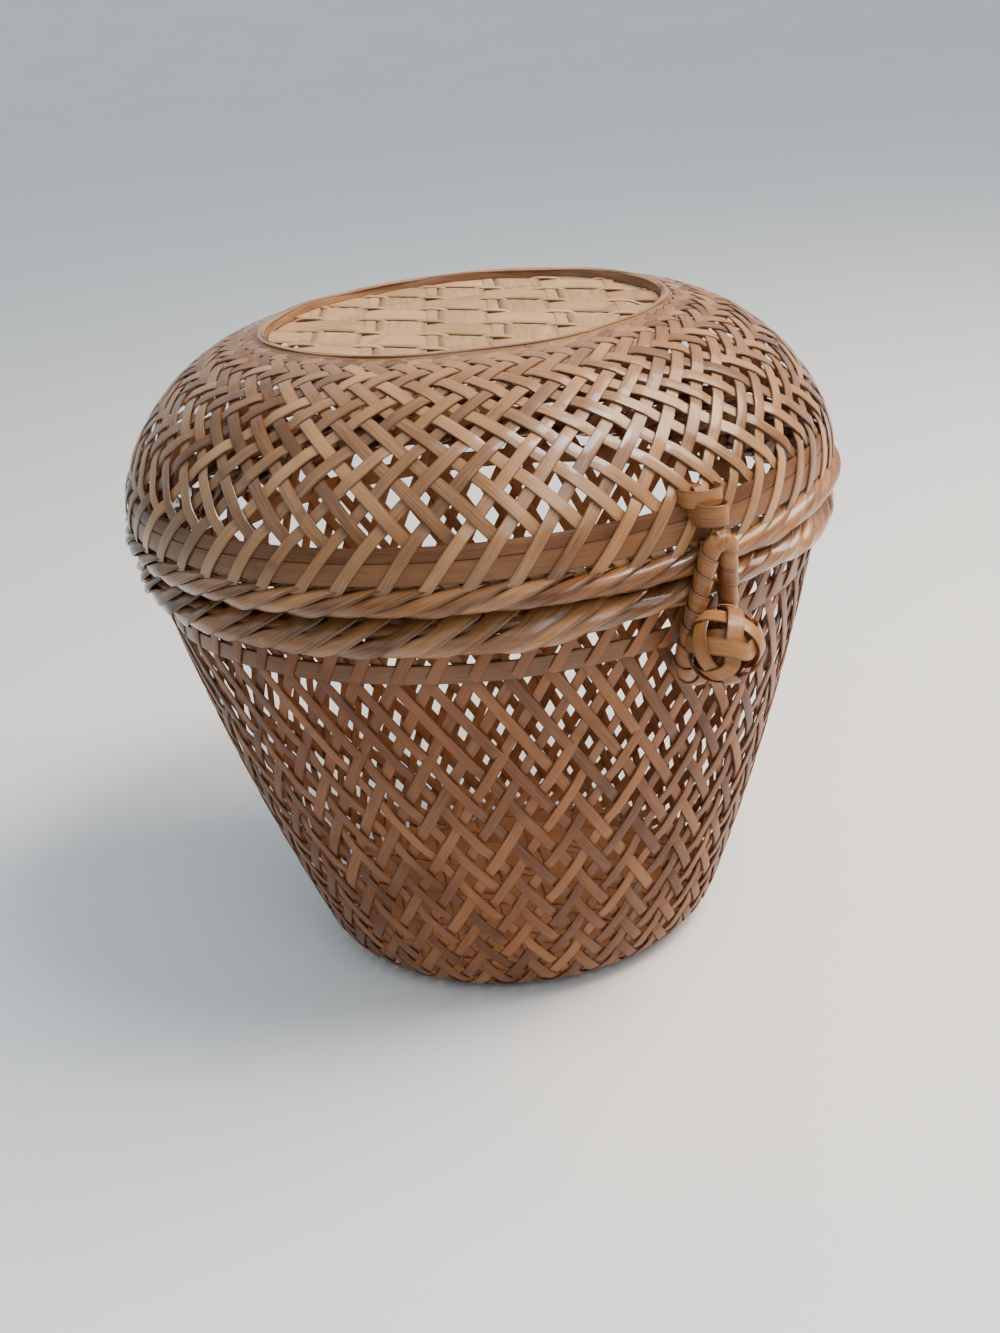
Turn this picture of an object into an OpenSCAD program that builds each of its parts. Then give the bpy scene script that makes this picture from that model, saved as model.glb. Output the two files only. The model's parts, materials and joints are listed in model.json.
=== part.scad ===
// Round lidded basket of plaited bamboo strips, with a rolled rim, a tied lid and a loop-and-knot clasp.
// Millimetres, +Z up, origin at the middle of the base on the surface that it stands on.
// The clasp is at the front, towards -Y, and the lid opens about the ties at the back, towards +Y.

/* [Body] */
// Radius of the flat part of the base
base_r = 50; // [46:1:54]
// Radius of the rounded edge between base and wall
corner_r = 16; // [12:1:18]
// Radius of the body's rolled rim, at the middle of the roll
body_ring_r = 99.2; // [92:0.2:106]
// Height of the middle of the body's rolled rim
body_h = 134.8; // [120:0.2:150]
// How far the wall swells out from a straight cone
wall_bulge = 2.6; // [0:0.2:4]

/* [Lid] */
// How far the lid's rolled rim stands out past the body's
rim_overhang = 1.9; // [0.2:0.1:3]
// Height of the dome above the lid's rolled rim
dome_h = 51.5; // [44:0.5:58]
// Radius of the hoop round the lid's flat top
top_ring_r = 59.4; // [54:0.2:64]
// Height of the dome's steep side
dome_side_h = 12.6; // [8:0.2:18]
// Radius of the dome's shoulder
dome_shoulder_r = 88; // [82:1:94]
// Depth of the dome's shoulder below its top
dome_shoulder_drop = 4.5; // [2:0.5:8]
// Height of the dome's lower edge above the middle of the rolled rim
dome_edge_rise = 3.5; // [2:0.1:4.2]

/* [Strips] */
// Strips in each slanted lay of the wall and of the dome
strip_count = 60; // [52:4:64]
// Width of a wall strip
wall_strip_w = 3.5; // [2.8:0.1:3.6]
// Width of a dome strip at the rim
dome_strip_w = 3.6; // [2.8:0.1:4]
// Width of a dome strip at the top hoop
dome_tip_w = 2.2; // [1.6:0.1:2.4]
// Thickness of a strip
strip_t = 0.6; // [0.4:0.1:0.8]
// Lean of the wall strips from upright
wall_lean = 31; // [26:1:34]
// Lean of the dome strips from upright
dome_lean = 42; // [36:1:44]
// How far inside the top hoop a dome strip would pass if it went on
dome_graze = 6; // [5.5:0.5:9]

/* [Hoops] */
// Thickness of a flat hoop between the two lays
hoop_t = 0.8; // [0.6:0.1:1.2]
// Width of a flat hoop
hoop_w = 5; // [3.5:0.5:5.5]
// Distance from the body's rolled rim down to its hoop
body_hoop_drop = 6; // [5.5:0.1:8]
// Distance from the lid's rolled rim up to its lower hoop
lid_hoop_rise = 2.4; // [2:0.1:4]
// Thickness of the hoop round the lid's top
top_ring_t = 2.8; // [2:0.2:4]
// Height of the hoop round the lid's top
top_ring_h = 6; // [5:0.5:8]
// Height of that hoop's edge above the dome
top_ring_lip = 1; // [0.5:0.1:2]
// Depth of the woven top below its hoop's edge
top_sink = 2.8; // [1.5:0.1:3.4]

/* [Rolled rims] */
// Radius of a rolled rim
roll_r = 3.9; // [3.4:0.1:4.2]
// Radius of the core inside a rolled rim
core_r = 1.8; // [1.2:0.1:2.2]
// Lean of the strips rolled round the rim
roll_lean = 50; // [35:1:55]
// Groove between neighbouring strips of a rim
roll_groove = 0.5; // [0.45:0.05:0.8]
// Gap between the two rims with the lid shut
seat_gap = 0.4; // [0.3:0.1:0.8]

/* [Mats] */
// Width of the wide strips in the base and the top
mat_w = 14; // [10:0.5:14.5]
// Distance between the wide strips of the slanted lay
mat_pitch = 15.5; // [15:0.5:20]
// Width of the narrow strips between the straight ones
mat_narrow_w = 3.4; // [2.5:0.1:4]
// Thickness of the mat's strips
mat_t = 0.8; // [0.5:0.1:0.8]
// Slant of the mat's slanted lay, from square to the straight one
mat_slant = -33; // [-50:1:-20]
// Turn of both mats about the upright axis
mat_turn = -31.5; // [-45:0.5:45]
// How far the lower mat of the base reaches into the rounded edge
base_lap = 3; // [1:0.5:3.5]

/* [Hinge ties] */
// Columns of gaps between the back of the rim and each tie
tie_column = 2; // [1:1:2]
// Width of a hinge tie
tie_w = 1.8; // [1.4:0.1:2]
// Thickness of a hinge tie
tie_t = 1; // [0.8:0.1:1.2]

/* [Clasp] */
// Length of the clasp's loop, along the middle of its cane
loop_l = 40; // [36:0.5:44]
// Height of the loop's narrow end above the middle of the lid's rim
loop_rise = 7.6; // [6.5:0.1:8]
// Radius of the loop's narrow end
loop_top_r = 3; // [2.8:0.1:3.4]
// Radius of the loop's wide end
loop_bottom_r = 7.4; // [7:0.1:8]
// Radius of the loop's cane
loop_core_r = 1.2; // [1:0.1:1.4]
// Radius of the loop over its wrapping
loop_wrap_r = 2.3; // [2:0.1:2.4]
// Turns of wrapping on each leg of the loop
loop_turns = 7; // [5:1:8]
// Slant of those turns
loop_turn_slant = 25; // [10:1:35]
// Thickness of the two straps that bind the loop
strap_t = 0.7; // [0.5:0.1:0.9]
// Room between the straps and the upper edge of the hoops
strap_ease = 0.9; // [0.7:0.1:1.2]
// Room between the straps and the back of the strips
strap_slack = 3; // [2:0.1:4]
// Radius of the woven knot
knot_r = 9; // [8.6:0.1:9.6]
// Distance down the loop to the knot
knot_down = 26.4; // [24:0.1:28]
// Radius of the knot's core
knot_core_r = 7.2; // [6.6:0.1:7.6]
// Bands wound round the knot, one over the other
knot_bands = 3; // [2:1:3]
// Width of those bands
knot_band_w = 4.6; // [3.5:0.1:5.5]
// Tilt of those bands
knot_tilt = 20; // [0:1:40]
// Radius of the cane that ties the knot on
knot_cane_r = 1.1; // [0.9:0.1:1.2]
// Length of the cane's cross bar behind the wall
knot_bar_l = 13; // [10:0.5:18]

/* [Hidden] */
$fn = 96;

// Colours of the cane and the strips
tan = "#b98c5a";
brown = "#9c6a41";
dark = "#7d4f30";
straw = "#d8bf94";

// Clearance between pieces that lie against each other
fit_gap = 0.1;
// Clearance between pieces that move past each other, and at the ends of strips
run_gap = 0.3;
// How far a cut reaches past what it cuts
over = 1;
// Straight steps along the section of the dome, the wall and the rounded edge
dome_steps = 6;
wall_steps = 3;
corner_steps = 2;
pitch = 360 / strip_count;
lay_gap = hoop_t + 2 * fit_gap;
wall_stack = 2 * strip_t + lay_gap;
hoop_lay = strip_t + fit_gap;
inner_lay = strip_t + lay_gap;

// The lid's rim rests on the body's rim
lid_ring_r = body_ring_r + rim_overhang;
lid_h = body_h + sqrt(pow(2 * roll_r + seat_gap, 2) - pow(rim_overhang, 2));
dome_top = lid_h + dome_h;

// A point and a direction on a curve of control points
function mix(a, b, t) = a + (b - a) * t;
function curve(p, t) = len(p) == 1
    ? p[0]
    : curve([for (i = [0 : len(p) - 2]) mix(p[i], p[i + 1], t)], t);
function unit(v) = v / norm(v);
function heading(p, t) = unit(curve(p, t + 0.01) - curve(p, t - 0.01));
// The curve moved inwards by d, along the wall's own normal
function inset(p, t, d) = let (h = heading(p, t)) curve(p, t) + d * [-h[1], h[0]];

// Outer line of the wall, from its foot to just under the rim
corner_sweep = 72;
function corner(a, d = 0) = [base_r + (corner_r - d) * sin(a), corner_r - (corner_r - d) * cos(a)];
wall_foot = corner(corner_sweep);
wall_top = [body_ring_r + wall_stack / 2, body_h - roll_r - run_gap];
wall_side = unit(wall_top - wall_foot);
wall_line = [
    wall_foot,
    mix(wall_foot, wall_top, 0.5) + 2 * wall_bulge * [wall_side[1], -wall_side[0]],
    wall_top
];
// Where the wall strips end under the base
tuck_r = base_r + corner_r / 2;
tuck_angle = asin((tuck_r - base_r) / corner_r);

// Outer line of the dome, from the lid's rim to the hoop round the top
dome_start = [lid_ring_r + roll_r + run_gap, lid_h + dome_edge_rise];
dome_end = [top_ring_r + 2 * run_gap, dome_top];
dome_line = [
    dome_start,
    dome_start + [0, dome_side_h],
    [dome_shoulder_r, dome_top - dome_shoulder_drop],
    dome_end
];

// Part of the curve at which its height is z
function at_height(p, z, lo = 0, hi = 1, n = 24) =
    let (m = (lo + hi) / 2, low = curve(p, m)[1] < z)
    n == 0 ? m : at_height(p, z, low ? m : lo, low ? hi : m, n - 1);

// A slanted strip lies in a plane through a point of the wall, square to the wall there
function slab_normal(p, t, lean) =
    let (h = heading(p, t)) [-sin(lean) * h[0], cos(lean), -sin(lean) * h[1]];
// How far round the basket that plane has turned when it reaches radius and height q
function turn_at(p, t, lean, q) =
    let (m = slab_normal(p, t, lean), c = curve(p, t), rest = m[0] * c[0] + m[2] * (c[1] - q[1]))
    atan2(m[1], m[0]) - acos(rest / (q[0] * norm([m[0], m[1]])));

// How near that plane passes to the basket's axis at height z
function pass_at(p, t, lean, z) =
    let (m = slab_normal(p, t, lean), c = curve(p, t))
    abs(m[0] * c[0] + m[2] * (c[1] - z)) / norm([m[0], m[1]]);
// Part of the dome's line at which a plane that leans this much passes the axis at distance d
function mid_for(d, lo = 0.4, hi = 0.95, n = 24) =
    let (m = (lo + hi) / 2, far = pass_at(dome_line, m, dome_lean, dome_top) > d)
    n == 0 ? m : mid_for(d, far ? m : lo, far ? hi : m, n - 1);

// Part of the section at which a strip's slab is square to it, and half the length over which it tapers
wall_mid = 0.34;
dome_mid = mid_for(top_ring_r - dome_graze);
dome_reach = norm(dome_end - dome_start);
// Part of the way from the rim to the hoop at which the gaps between the wall strips are widest
tie_gap_part = 0.3;
// Hoops between the two lays
body_hoop_z = body_h - roll_r - body_hoop_drop - hoop_w;
lid_hoop_z = lid_h + roll_r + lid_hoop_rise;
hoop_step = hoop_w + run_gap;
// The wall strips leave a gap there for the ties, and the dome strips cross at the hoops
tie_gap_z = mix(body_h - roll_r, body_hoop_z + hoop_w, tie_gap_part);
wall_gap_point = curve(wall_line, at_height(wall_line, tie_gap_z));
wall_phase = pitch / 2 - turn_at(wall_line, wall_mid, wall_lean, wall_gap_point);
dome_cross_point = curve(dome_line, at_height(dome_line, lid_hoop_z + hoop_step));
dome_phase = -turn_at(dome_line, dome_mid, dome_lean, dome_cross_point);

// Hinge ties
hinge = [body_ring_r, body_h];
tie_x = mix(body_ring_r, dome_start[0], 0.5) * sin(tie_column * pitch);
tie_sag = body_ring_r - sqrt(pow(body_ring_r, 2) - pow(tie_x, 2));
tie_low_r = roll_r + tie_sag + run_gap + fit_gap;
tie_high = [sqrt(pow(lid_ring_r, 2) - pow(tie_x, 2)), lid_h];
tie_high_r = roll_r + run_gap + fit_gap;

// Clasp: the loop hangs in a plane that clears both rims
loop_clear = roll_r + loop_wrap_r + run_gap;
rim_step = [lid_ring_r - body_ring_r, lid_h - body_h];
loop_down = -unit(rim_step);
loop_out = [rim_step[1], -rim_step[0]] / norm(rim_step);
loop_pivot = [lid_ring_r, lid_h] + loop_clear * loop_out - loop_rise * loop_down;
loop_spread = asin((loop_bottom_r - loop_top_r) / (loop_l - loop_top_r - loop_bottom_r));
// The two straps pass side by side through the loop's narrow end
strap_w = loop_top_r - loop_core_r - run_gap - fit_gap;
strap_reach = strap_w + fit_gap / 2;
strap_sag = loop_top_r - loop_core_r - sqrt(pow(loop_top_r - loop_core_r, 2) - pow(strap_reach, 2));
knot_part = (knot_down - loop_top_r) / (loop_l - loop_top_r - loop_bottom_r);
loop_half_w = mix(loop_top_r, loop_bottom_r, knot_part);
knot_out = sqrt(pow(knot_r + loop_wrap_r + run_gap, 2) - pow(loop_half_w * cos(loop_spread), 2));
knot_at = loop_pivot + knot_down * loop_down + knot_out * loop_out;
knot_bar_at = [wall_gap_point[0] - wall_stack - knot_cane_r - run_gap, tie_gap_z];

// Turns a piece built towards +X to the front of the basket
module to_front() {
    rotate([0, 0, -90]) children();
}

// Section of the dome's shell between depths a and b under its outer line
module dome_section(a, b) {
    ts = [for (i = [0 : dome_steps]) i / dome_steps];
    outer = [for (t = ts) inset(dome_line, t, a)];
    inner = [for (t = ts) inset(dome_line, t, b)];
    polygon(concat(outer, [for (i = [len(inner) - 1 : -1 : 0]) inner[i]]));
}

// Section of the wall's shell with its rounded foot
module wall_section(a, b) {
    angles = [for (i = [0 : corner_steps - 1]) mix(tuck_angle, corner_sweep, i / corner_steps)];
    ts = [for (i = [0 : wall_steps]) i / wall_steps];
    outer = concat([for (g = angles) corner(g, a)], [for (t = ts) inset(wall_line, t, a)]);
    inner = concat([for (g = angles) corner(g, b)], [for (t = ts) inset(wall_line, t, b)]);
    polygon(concat(outer, [for (i = [len(inner) - 1 : -1 : 0]) inner[i]]));
}

// A slab along one strip: it leans to the right going up, and tapers from w0 below to w1 above
module strip_slab(p, t, lean, w0, w1, reach, depth) {
    h = heading(p, t);
    c = curve(p, t);
    translate([c[0], 0, c[1]])
        rotate([0, atan2(h[0], h[1]), 0])
            rotate([-lean, 0, 0])
                rotate([90, 0, 90])
                    translate([0, 0, -depth])
                        linear_extrude(depth + wall_stack + 2 * corner_r)
                            polygon([
                                [-w0 / 2, -reach], [w0 / 2, -reach],
                                [w1 / 2, reach], [-w1 / 2, reach]
                            ]);
}

// The strips of one lay of the wall
module wall_lay(a, b) {
    for (i = [0 : strip_count - 1])
        intersection() {
            rotate_extrude() wall_section(a, b);
            rotate([0, 0, i * pitch + wall_phase])
                strip_slab(wall_line, wall_mid, wall_lean, wall_strip_w, wall_strip_w, body_h, base_r);
        }
}

// The strips of one lay of the dome
module dome_lay(a, b) {
    for (i = [0 : strip_count - 1])
        intersection() {
            rotate_extrude() dome_section(a, b);
            rotate([0, 0, i * pitch + dome_phase])
                strip_slab(
                    dome_line, dome_mid, dome_lean, dome_strip_w, dome_tip_w, dome_reach, top_ring_r
                );
        }
}

// The slanted lay of a mat
module mat_slanted(r, z) {
    rows = ceil(r / mat_pitch);
    intersection() {
        translate([0, 0, z]) cylinder(h = mat_t, r = r);
        rotate([0, 0, mat_turn + mat_slant])
            for (i = [-rows : rows])
                translate([-2 * r, i * mat_pitch - mat_w / 2, z - over])
                    cube([4 * r, mat_w, mat_t + 2 * over]);
    }
}

// The straight lay of a mat: wide strips with narrow ones between them
module mat_straight(r, z) {
    step = mat_w + mat_narrow_w + 2 * run_gap;
    rows = ceil(r / step);
    intersection() {
        translate([0, 0, z]) cylinder(h = mat_t, r = r);
        rotate([0, 0, mat_turn])
            for (i = [-rows : rows]) {
                translate([i * step - mat_w / 2, -2 * r, z - over])
                    cube([mat_w, 4 * r, mat_t + 2 * over]);
                translate([(i + 0.5) * step - mat_narrow_w / 2, -2 * r, z - over])
                    cube([mat_narrow_w, 4 * r, mat_t + 2 * over]);
            }
    }
}

// The cane inside a rolled rim
module rim_core(ring_r, z) {
    translate([0, 0, z]) rotate_extrude() translate([ring_r, 0]) circle(r = core_r);
}

// The strips rolled round the cane, each a slanted slice of a short tube
module rim_roll(ring_r, z) {
    step = 2 * ring_r * sin(pitch / 2);
    lay_w = step * cos(roll_lean) - roll_groove;
    bow = step * step / ring_r / 4;
    reach = 2 * step;
    for (i = [0 : strip_count - 1])
        rotate([0, 0, i * pitch])
            translate([ring_r, 0, z])
                intersection() {
                    rotate([90, 0, 0])
                        difference() {
                            cylinder(h = reach, r = roll_r, center = true);
                            cylinder(h = reach + 2 * over, r = core_r + bow + fit_gap, center = true);
                        }
                    rotate([-roll_lean, 0, 0])
                        cube([3 * roll_r, lay_w, 2 * reach], center = true);
                }
}

// A flat hoop between the two lays: the part of a shell's section from height z0 up
module hoop(z0) {
    rotate_extrude()
        intersection() {
            children();
            translate([0, z0]) square([2 * lid_ring_r, hoop_w]);
        }
}

// Outline of a belt round two circles
module belt(c0, r0, c1, r1) {
    d = norm(c1 - c0);
    along = (c1 - c0) / d;
    across = [-along[1], along[0]];
    s = (r0 - r1) / d;
    k = sqrt(1 - s * s);
    left = s * along + k * across;
    right = s * along - k * across;
    translate(c0) circle(r = r0);
    translate(c1) circle(r = r1);
    polygon([c0 + r0 * left, c0 + r0 * right, c1 + r1 * right, c1 + r1 * left]);
}

// A cane tie that holds the lid's rim against the body's and turns round the body's rim
module hinge_tie(x) {
    translate([x - tie_w / 2, 0, 0])
        rotate([90, 0, 90])
            linear_extrude(tie_w)
                difference() {
                    belt(hinge, tie_low_r + tie_t, tie_high, tie_high_r + tie_t);
                    belt(hinge, tie_low_r, tie_high, tie_high_r);
                }
}

// Places a piece in the loop's plane: X across, Y down along the loop, Z out from the basket
module loop_plane() {
    to_front()
        translate([loop_pivot[0], 0, loop_pivot[1]])
            multmatrix([
                [0, loop_down[0], loop_out[0], 0],
                [1, 0, 0, 0],
                [0, loop_down[1], loop_out[1], 0],
                [0, 0, 0, 1]
            ])
                children();
}

// Ends of the loop's straight legs, for the side s
loop_top_y = loop_top_r;
loop_bottom_y = loop_l - loop_bottom_r;
loop_leg_l = (loop_bottom_y - loop_top_y) * cos(loop_spread);
module on_leg(s) {
    translate([s * loop_top_r * cos(loop_spread), loop_top_y - loop_top_r * sin(loop_spread), 0])
        rotate([0, 0, -s * loop_spread])
            rotate([-90, 0, 0])
                children();
}

// Middle line of the loop: its two round ends, joined by straight legs
loop_steps = 10;
loop_sides = 10;
function loop_end(y, r, from, sweep) = [
    for (i = [0 : loop_steps]) let (a = from + sweep * i / loop_steps) [r * cos(a), y + r * sin(a)]
];
loop_path = concat(
    loop_end(loop_top_y, loop_top_r, 180 + loop_spread, 180 - 2 * loop_spread),
    loop_end(loop_bottom_y, loop_bottom_r, -loop_spread, 180 + 2 * loop_spread)
);

// A closed tube of radius r with n sides along a flat closed path
module closed_tube(path, r, n) {
    m = len(path);
    points = [
        for (i = [0 : m - 1])
            let (d = unit(path[(i + 1) % m] - path[(i + m - 1) % m]))
                for (k = [0 : n - 1])
                    let (a = 360 * k / n)
                        [path[i][0] + r * cos(a) * d[1], path[i][1] - r * cos(a) * d[0], r * sin(a)]
    ];
    faces = [
        for (i = [0 : m - 1])
            for (k = [0 : n - 1])
                let (here = i * n, next = (i + 1) % m * n, l = (k + 1) % n)
                    for (f = [[here + k, next + k, next + l], [here + k, next + l, here + l]])
                        f
    ];
    polyhedron(points, faces);
}

module base_strips_lower() {
    color(tan) mat_slanted(base_r + base_lap, 0);
}

module base_strips_upper() {
    color(tan) mat_straight(tuck_r - run_gap, mat_t + fit_gap);
}

module wall_strips_right() {
    color(brown) to_front() wall_lay(0, strip_t);
}

module wall_strips_left() {
    color(brown) to_front() mirror([0, 1, 0]) wall_lay(inner_lay, inner_lay + strip_t);
}

module body_hoop() {
    color(dark) hoop(body_hoop_z) wall_section(hoop_lay, hoop_lay + hoop_t);
}

module body_rim_core() {
    color(dark) rim_core(body_ring_r, body_h);
}

module body_rim_roll() {
    color(tan) to_front() rim_roll(body_ring_r, body_h);
}

// A woven ball: a core with bands wound round it, one over the other
module clasp_knot() {
    band_t = (knot_r - knot_core_r) / knot_bands;
    color(tan)
        to_front()
            translate([knot_at[0], 0, knot_at[1]]) {
                sphere(r = knot_core_r);
                for (i = [0 : knot_bands - 1])
                    rotate([180 * i / knot_bands, 0, 0])
                        rotate([0, knot_tilt, 0])
                            rotate_extrude()
                                intersection() {
                                    difference() {
                                        circle(r = knot_core_r + (i + 1) * band_t);
                                        circle(r = knot_core_r + i * band_t + fit_gap);
                                    }
                                    translate([0, -knot_band_w / 2]) square([knot_r + over, knot_band_w]);
                                }
            }
}

// The cane that goes through the wall under the rim, with a bar behind the wall
module knot_cane() {
    back = knot_bar_at - knot_at;
    color(dark)
        to_front() {
            difference() {
                translate([knot_at[0], 0, knot_at[1]])
                    rotate([0, atan2(back[0], back[1]), 0])
                        cylinder(h = norm(back), r = knot_cane_r);
                translate([knot_at[0], 0, knot_at[1]]) sphere(r = knot_r + fit_gap);
            }
            translate([knot_bar_at[0], 0, knot_bar_at[1]])
                rotate([90, 0, 0])
                    cylinder(h = knot_bar_l, r = knot_cane_r, center = true);
        }
}

top_mat_r = top_ring_r - top_ring_t - run_gap;
top_mat_z = dome_top + top_ring_lip - top_sink - 2 * mat_t - fit_gap;

module lid_top_strips_lower() {
    color(straw) mat_slanted(top_mat_r, top_mat_z);
}

module lid_top_strips_upper() {
    color(straw) mat_straight(top_mat_r, top_mat_z + mat_t + fit_gap);
}

// The hoop that stands up round the woven top, with a rounded edge
module lid_top_ring() {
    edge = top_ring_t / 2;
    color(brown)
        translate([0, 0, dome_top + top_ring_lip])
            rotate_extrude()
                translate([top_ring_r - top_ring_t, -top_ring_h]) {
                    square([top_ring_t, top_ring_h - edge]);
                    translate([edge, top_ring_h - edge]) circle(r = edge);
                }
}

module lid_strips_right() {
    color(tan) to_front() dome_lay(0, strip_t);
}

module lid_strips_left() {
    color(tan) to_front() mirror([0, 1, 0]) dome_lay(inner_lay, inner_lay + strip_t);
}

module lid_hoop_lower() {
    color(tan) hoop(lid_hoop_z) dome_section(hoop_lay, hoop_lay + hoop_t);
}

module lid_hoop_upper() {
    color(dark) hoop(lid_hoop_z + hoop_step) dome_section(hoop_lay, hoop_lay + hoop_t);
}

module lid_rim_core() {
    color(dark) rim_core(lid_ring_r, lid_h);
}

module lid_rim_roll() {
    color(tan) to_front() rim_roll(lid_ring_r, lid_h);
}

module hinge_tie_left() {
    color(dark) hinge_tie(-tie_x);
}

module hinge_tie_right() {
    color(dark) hinge_tie(tie_x);
}

// Outline of a strap round the lid's hoops and the top of the loop
module strap_outline(grow) {
    low = lid_hoop_z - run_gap;
    high = lid_hoop_z + hoop_step + hoop_w + strap_ease;
    front = curve(dome_line, at_height(dome_line, high))[0] + fit_gap;
    back = front - wall_stack - strap_slack;
    hull() {
        for (sag = [0, strap_sag])
            translate(loop_pivot + sag * loop_down) circle(r = loop_core_r + run_gap + grow, $fn = 32);
        for (q = [[front, high], [back, high], [back, low]])
            translate(q) circle(r = run_gap + grow, $fn = 32);
    }
}

module loop_binding() {
    color(tan)
        to_front()
            for (s = [-1, 1])
                translate([0, s * (strap_w + fit_gap) / 2 + strap_w / 2, 0])
                    rotate([90, 0, 0])
                        linear_extrude(strap_w)
                            difference() {
                                strap_outline(strap_t);
                                strap_outline(0);
                            }
}

// The cane bent to a closed loop
module loop_core() {
    color(dark) loop_plane() closed_tube(loop_path, loop_core_r, loop_sides);
}

// The wrapping on the legs, in slanted turns
module loop_wrap() {
    turn = loop_leg_l / (loop_turns + 1);
    turn_w = turn * cos(loop_turn_slant) - run_gap;
    cut = 4 * loop_wrap_r;
    color(tan)
        loop_plane()
            for (s = [-1, 1])
                for (i = [1 : loop_turns])
                    on_leg(s)
                        intersection() {
                            difference() {
                                cylinder(h = loop_leg_l, r = loop_wrap_r);
                                translate([0, 0, -over])
                                    cylinder(h = loop_leg_l + 2 * over, r = loop_core_r + fit_gap / 2);
                            }
                            translate([0, 0, (i + 0.5) * turn])
                                rotate([0, loop_turn_slant, 0])
                                    cube([cut, cut, turn_w], center = true);
                        }
}

base_strips_lower();
base_strips_upper();
wall_strips_right();
wall_strips_left();
body_hoop();
body_rim_core();
body_rim_roll();
clasp_knot();
knot_cane();
lid_top_strips_lower();
lid_top_strips_upper();
lid_top_ring();
lid_strips_right();
lid_strips_left();
lid_hoop_lower();
lid_hoop_upper();
lid_rim_core();
lid_rim_roll();
hinge_tie_left();
hinge_tie_right();
loop_binding();
loop_core();
loop_wrap();
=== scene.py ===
"""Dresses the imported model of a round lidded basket, plaited from split bamboo.

Lengths are metres and angles are radians, in the model's own frame: +Z up, the clasp at -Y and the
hinge at +Y. A turn round the basket is 0 at the clasp and grows to the right, as seen from the front.
"""

from __future__ import annotations

import json
import logging
import math
from collections.abc import Callable
from dataclasses import dataclass, field
from enum import Enum

import bpy
import numpy as np
from mathutils import Matrix, Vector

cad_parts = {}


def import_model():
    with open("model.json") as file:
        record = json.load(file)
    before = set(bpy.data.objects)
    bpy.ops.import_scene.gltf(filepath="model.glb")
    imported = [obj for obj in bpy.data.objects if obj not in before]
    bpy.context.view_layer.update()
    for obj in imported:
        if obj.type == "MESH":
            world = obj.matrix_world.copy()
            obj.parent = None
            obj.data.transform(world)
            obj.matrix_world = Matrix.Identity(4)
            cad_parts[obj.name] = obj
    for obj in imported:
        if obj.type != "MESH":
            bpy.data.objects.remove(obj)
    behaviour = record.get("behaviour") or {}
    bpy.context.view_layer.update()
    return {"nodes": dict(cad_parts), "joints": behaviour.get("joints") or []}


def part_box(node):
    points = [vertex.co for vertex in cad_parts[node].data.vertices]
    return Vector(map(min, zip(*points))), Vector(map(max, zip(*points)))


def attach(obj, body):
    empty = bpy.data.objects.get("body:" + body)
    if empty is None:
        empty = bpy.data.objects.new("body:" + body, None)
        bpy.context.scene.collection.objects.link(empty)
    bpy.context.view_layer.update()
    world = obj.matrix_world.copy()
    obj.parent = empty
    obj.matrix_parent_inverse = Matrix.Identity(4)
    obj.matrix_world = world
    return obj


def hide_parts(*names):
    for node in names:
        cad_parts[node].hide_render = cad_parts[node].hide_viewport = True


LOG = logging.getLogger("basket")
SEED = 7

MM = 0.001
FULL_TURN = 2.0 * math.pi
# Depth from the outside of a plait to the middle of its two lays.
STACK = 1.1 * MM

# Point attributes of a strip mesh: length along, place across and shade; and 1 on a strip's back.
MARKS = "strip_marks"
BACKS = "strip_backs"

Pair = tuple[float, float]
Triple = tuple[float, float, float]
Lift = Callable[[np.ndarray, np.ndarray, float], np.ndarray]


class Lay(Enum):
    """The way a strip leans as it goes up the basket: +1 to the right, -1 to the left."""

    RIGHT = 1
    LEFT = -1


class Face(Enum):
    """The side that a mat is seen from: +1 above, -1 below."""

    ABOVE = 1
    BELOW = -1


class Body(Enum):
    """The bodies of the frame that pieces ride on."""

    BASKET = "basket"
    LID = "lid"
    LOOP = "clasp_loop"


def smooth_square(phase: np.ndarray, sharpness: float = 3.0) -> np.ndarray:
    """A square wave with rounded steps, +1 where the phase is even and -1 where it is odd."""
    return np.tanh(sharpness * np.cos(np.pi * phase)) / math.tanh(sharpness)


def smooth_step(value: np.ndarray, low: float, high: float) -> np.ndarray:
    """A rounded ramp, from 0 where the value is low to 1 where it is high."""
    part = np.clip((value - low) / (high - low), 0.0, 1.0)
    return part * part * (3.0 - 2.0 * part)


def unit(vectors: np.ndarray) -> np.ndarray:
    """The same vectors at length 1."""
    return vectors / np.linalg.norm(vectors, axis=-1, keepdims=True)


def turned(turn: np.ndarray, out: np.ndarray, up: np.ndarray) -> np.ndarray:
    """Points or ways of a section, out from the axis and up it, turned round the basket."""
    return np.stack([out * np.sin(turn), -out * np.cos(turn), up], axis=-1)


def run_length(points: np.ndarray) -> np.ndarray:
    """Length along a line at each of its points."""
    return np.concatenate([[0.0], np.cumsum(np.linalg.norm(np.diff(points, axis=0), axis=1))])


def bezier(points: list[Pair], count: int) -> np.ndarray:
    """Samples a curve of control points.

    Args:
        points: Control points.
        count: Number of samples.

    Returns:
        Samples, one row each.
    """
    t = np.linspace(0.0, 1.0, count)[:, None]
    rows = [np.repeat(np.array([p], float), count, axis=0) for p in points]
    while len(rows) > 1:
        rows = [a * (1.0 - t) + b * t for a, b in zip(rows, rows[1:])]
    return rows[0]


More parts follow.
